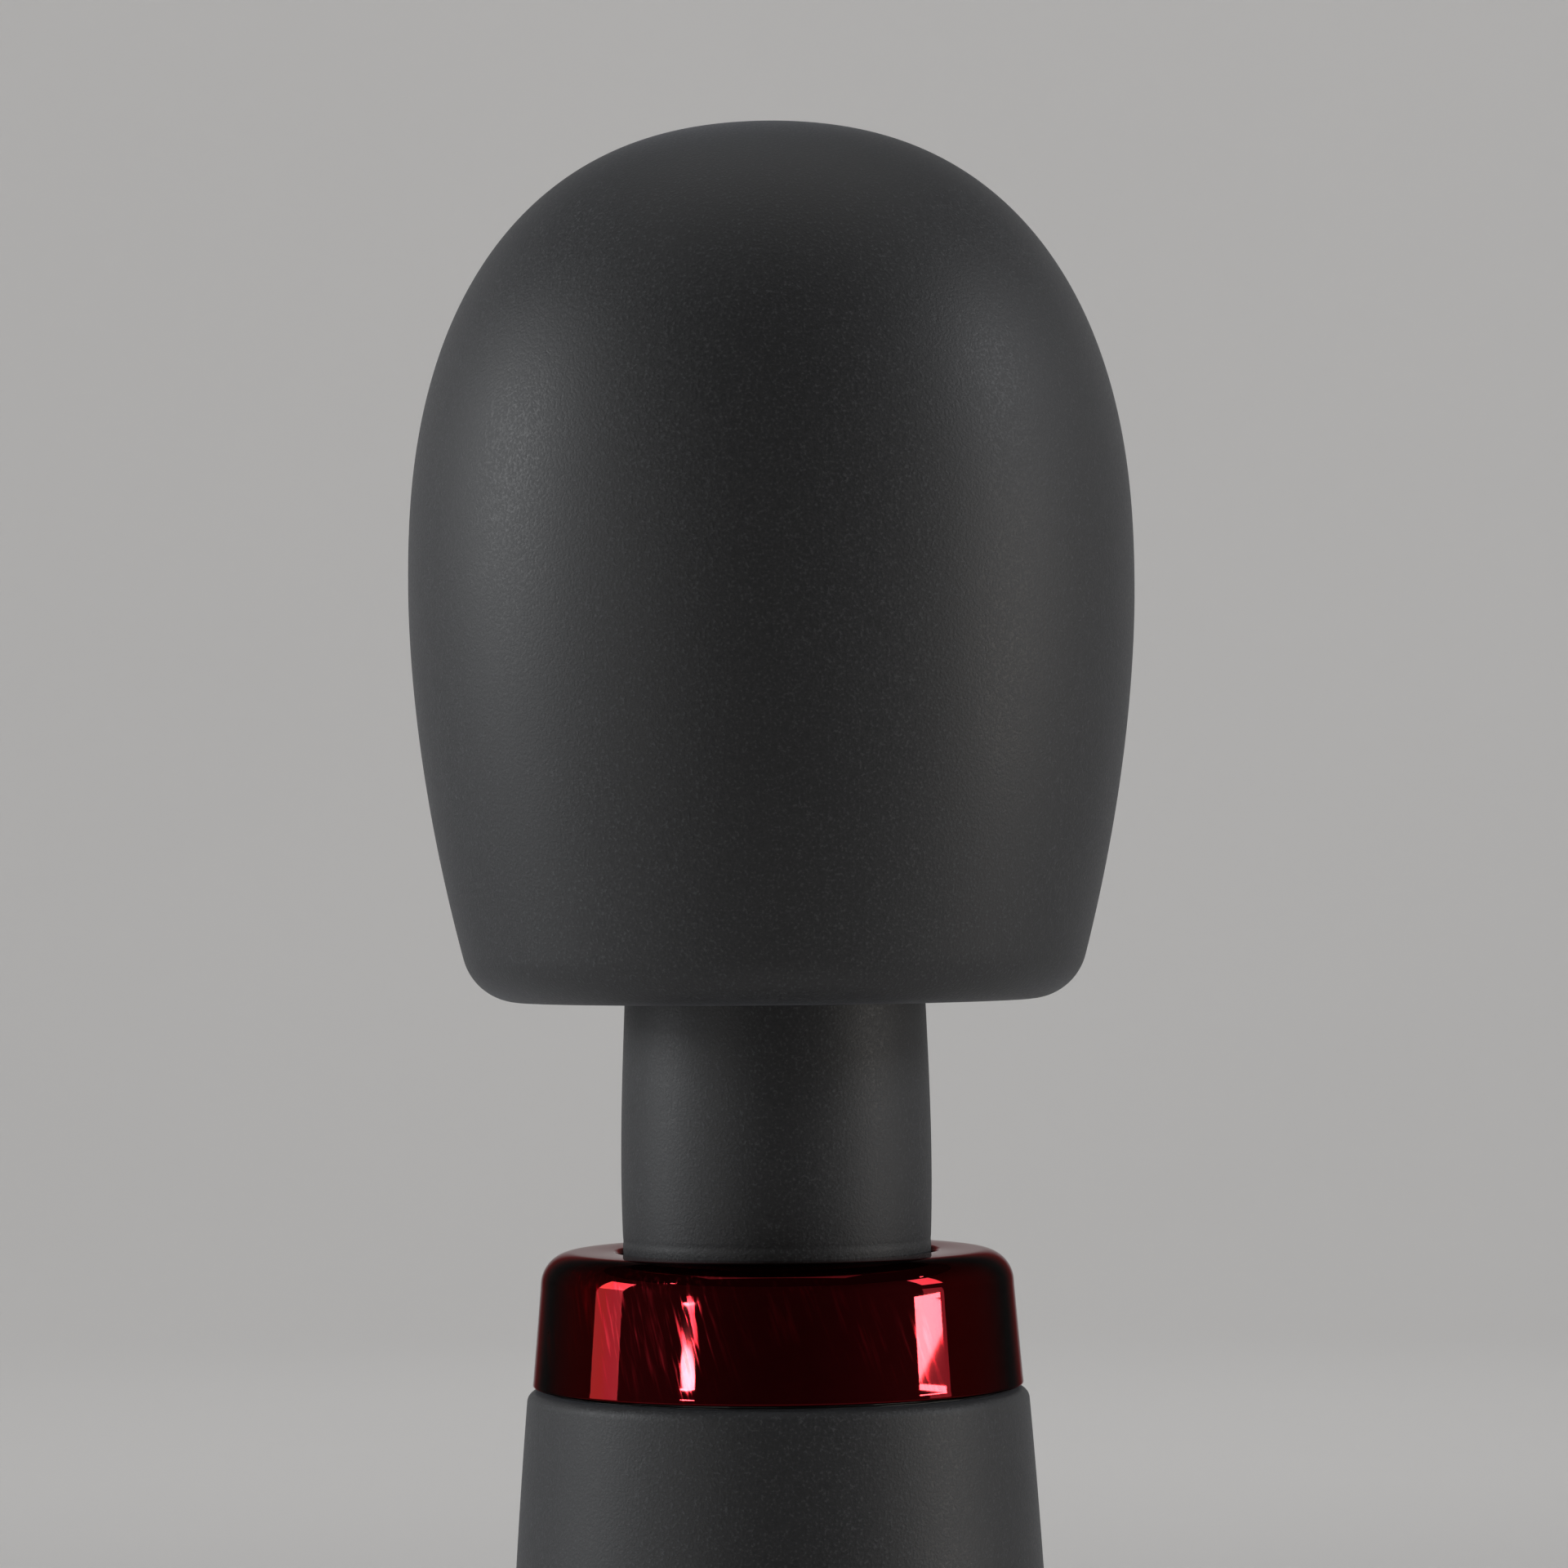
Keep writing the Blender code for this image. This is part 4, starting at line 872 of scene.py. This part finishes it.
def flap_levels(height):
    """The flap's loops from the middle of its face, round its edge to its back, as (share of the
    flap's size, depth below the face)."""
    levels = [(share, 0.0) for share in (0.15, 0.3, 0.45, 0.6, 0.75, 0.87)]
    edge_steps = 4
    for step in range(edge_steps + 1):
        turn = math.radians(90 * step / edge_steps)
        share = 1 - FLAP_EDGE_R * (1 - math.sin(turn)) / (height / 2)
        levels.append((share, FLAP_EDGE_R * (1 - math.cos(turn))))
    return levels + [(1.0, FLAP_T), (0.7, FLAP_T), (0.35, FLAP_T)]


def make_port_flap():
    """A curved pad that fills its window flush with the grip, with a finger lip and a plug behind."""
    low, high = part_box("port_flap")
    width, height = high.x - low.x, high.z - low.z
    centre_z = (low.z + high.z) / 2
    loop = rounded_rectangle(width, height, FLAP_CORNER_R, 10)
    lip_z, lip_h, lip_w = height * 0.36, 0.75 * MM, 3.0 * MM

    def surface(x, z, depth):
        return Vector((x, math.sqrt(handle_radius(centre_z + z) ** 2 - x * x) - depth, centre_z + z))

    bm = bmesh.new()
    first = bm.verts.new(surface(0, 0, 0))
    last = bm.verts.new(surface(0, 0, FLAP_T))
    rings = []
    for share, depth in flap_levels(height):
        ring = []
        for x, z in loop:
            raised = FLAP_LIP * bell(z - lip_z, lip_h, 2) * bell(x, lip_w, 4) * share ** 4
            place = surface(x * share, z * share, depth)
            place.y += raised if depth < FLAP_EDGE_R / 2 else 0
            ring.append(bm.verts.new(place))
        rings.append(ring)
    for k in range(len(loop)):
        following = (k + 1) % len(loop)
        bm.faces.new((first, rings[0][k], rings[0][following]))
        bm.faces.new((last, rings[-1][following], rings[-1][k]))
        for inner, outer in zip(rings, rings[1:]):
            bm.faces.new((inner[k], outer[k], outer[following], inner[following]))
    pad = place_mesh("port_flap_pad", bm, "dark_silicone")
    stand_for(pad, "port_cover", "dark_silicone", "port_flap")
    plug_outline = rounded_rectangle(PLUG_W, PLUG_H, 0.9 * MM)
    plug_centre = (0, centre_of("charge_socket_shell").z)
    plug = prism("port_flap_plug", plug_outline, PLUG_TIP_Y, PLUG_ROOT_Y, "dark_silicone", plug_centre)
    stand_for(plug, "port_cover", "dark_silicone")


# Studio.

def studio_paper(name):
    """Matt paper with a very faint cloudiness."""
    n = Nodes(name)
    cloud = n.noise(1.5, detail=3.0)
    base = n.blend(n.vary(cloud), tone(PAPER, 0.99), tone(PAPER, 1.01))
    return n.finish(Base_Color=base, Roughness=0.85)


def make_backdrop():
    """A wide pale floor that curves up into a wall all the way round."""
    outline = [(0.001, 0.0), (0.4, 0.0), (1.0, 0.0), (FLOOR_FLAT_R, 0.0)]
    outline += arc(FLOOR_FLAT_R, FLOOR_CURVE_R, FLOOR_CURVE_R, -90, 0, 24)[1:]
    outline += [(FLOOR_FLAT_R + FLOOR_CURVE_R, WALL_TOP)]
    bm = bmesh.new()
    angles = even_angles(128)
    rings = [[bm.verts.new((r * math.cos(a), r * math.sin(a), z)) for a in angles] for r, z in outline]
    bm.faces.new(rings[0])
    for lower, upper in zip(rings, rings[1:]):
        bridge(bm, lower, upper)
    mesh = bpy.data.meshes.new("studio_floor")
    bm.to_mesh(mesh)
    bm.free()
    mesh.shade_smooth()
    mesh.materials.append(studio_paper("studio_paper"))
    floor = link(bpy.data.objects.new("studio_floor", mesh))


def area_light(name, place, target, size, power, colour, shape):
    """A flat lamp that faces its target and that the camera doesn't see."""
    data = bpy.data.lights.new(name, "AREA")
    data.shape = shape
    data.size, data.size_y = size
    data.energy = power
    data.color = colour
    lamp = bpy.data.objects.new(name, data)
    lamp.location = place
    lamp.rotation_mode = "QUATERNION"
    lamp.rotation_quaternion = (Vector(target) - Vector(place)).to_track_quat("-Z", "Y")
    lamp.visible_camera = False
    link(lamp)


def make_studio():
    """Softboxes beside the wand and above it, washes on the walls, and lamps that glint on the collar."""
    make_backdrop()
    bpy.context.scene.view_settings.view_transform = "Standard"
    world = bpy.data.worlds.new("studio_air")
    world.use_nodes = True
    sky = world.node_tree.nodes["Background"]
    sky.inputs["Color"].default_value = SKY_COLOUR
    sky.inputs["Strength"].default_value = SKY_STRENGTH
    bpy.context.scene.world = world
    for lamp in LAMPS:
        area_light(*lamp)
    for name, (x, y), power in WASHES:
        place, target = (WASH_R * x, WASH_R * y, WASH_Z), (WALL_R * x, WALL_R * y, WALL_AIM_Z)
        area_light(name, place, target, WASH_SIZE, power, (1.0, 1.0, 1.0), "RECTANGLE")
    for name, azimuth, height, size, power in GLINTS:
        turn = math.radians(azimuth)
        place = (GLINT_R * math.sin(turn), -GLINT_R * math.cos(turn), height)
        area_light(name, place, RING_AIM, size, power, GLINT_COLOUR, "ELLIPSE")


def make_camera():
    """A long lens a little above the head's lower edge, tilted up and rolled by a small angle."""
    data = bpy.data.cameras.new("studio_camera")
    data.sensor_width = 36.0
    data.lens = CAMERA_LENS
    data.clip_start = 0.01
    camera = link(bpy.data.objects.new("studio_camera", data))
    upright = Matrix.Rotation(math.radians(90) + CAMERA_TILT, 4, "X")
    camera.matrix_world = Matrix.Translation(CAMERA_PLACE) @ upright @ Matrix.Rotation(CAMERA_ROLL, 4, "Z")
    bpy.context.scene.camera = camera


def dress_cad_nodes():
    """Gives each CAD node the procedural material of its slot."""
    slots = {part["node"]: part["material_slot"] for part in frame["record"]["subparts"]}
    for name, piece in frame["nodes"].items():
        piece.data.materials.clear()
        piece.data.materials.append(MATERIALS[slots[name]])


make_camera()
make_studio()
dress_cad_nodes()
make_head()
make_neck()
make_neck_wires()
make_collar()
make_handle()
make_base()
make_buttons()
make_lens()
make_port_flap()
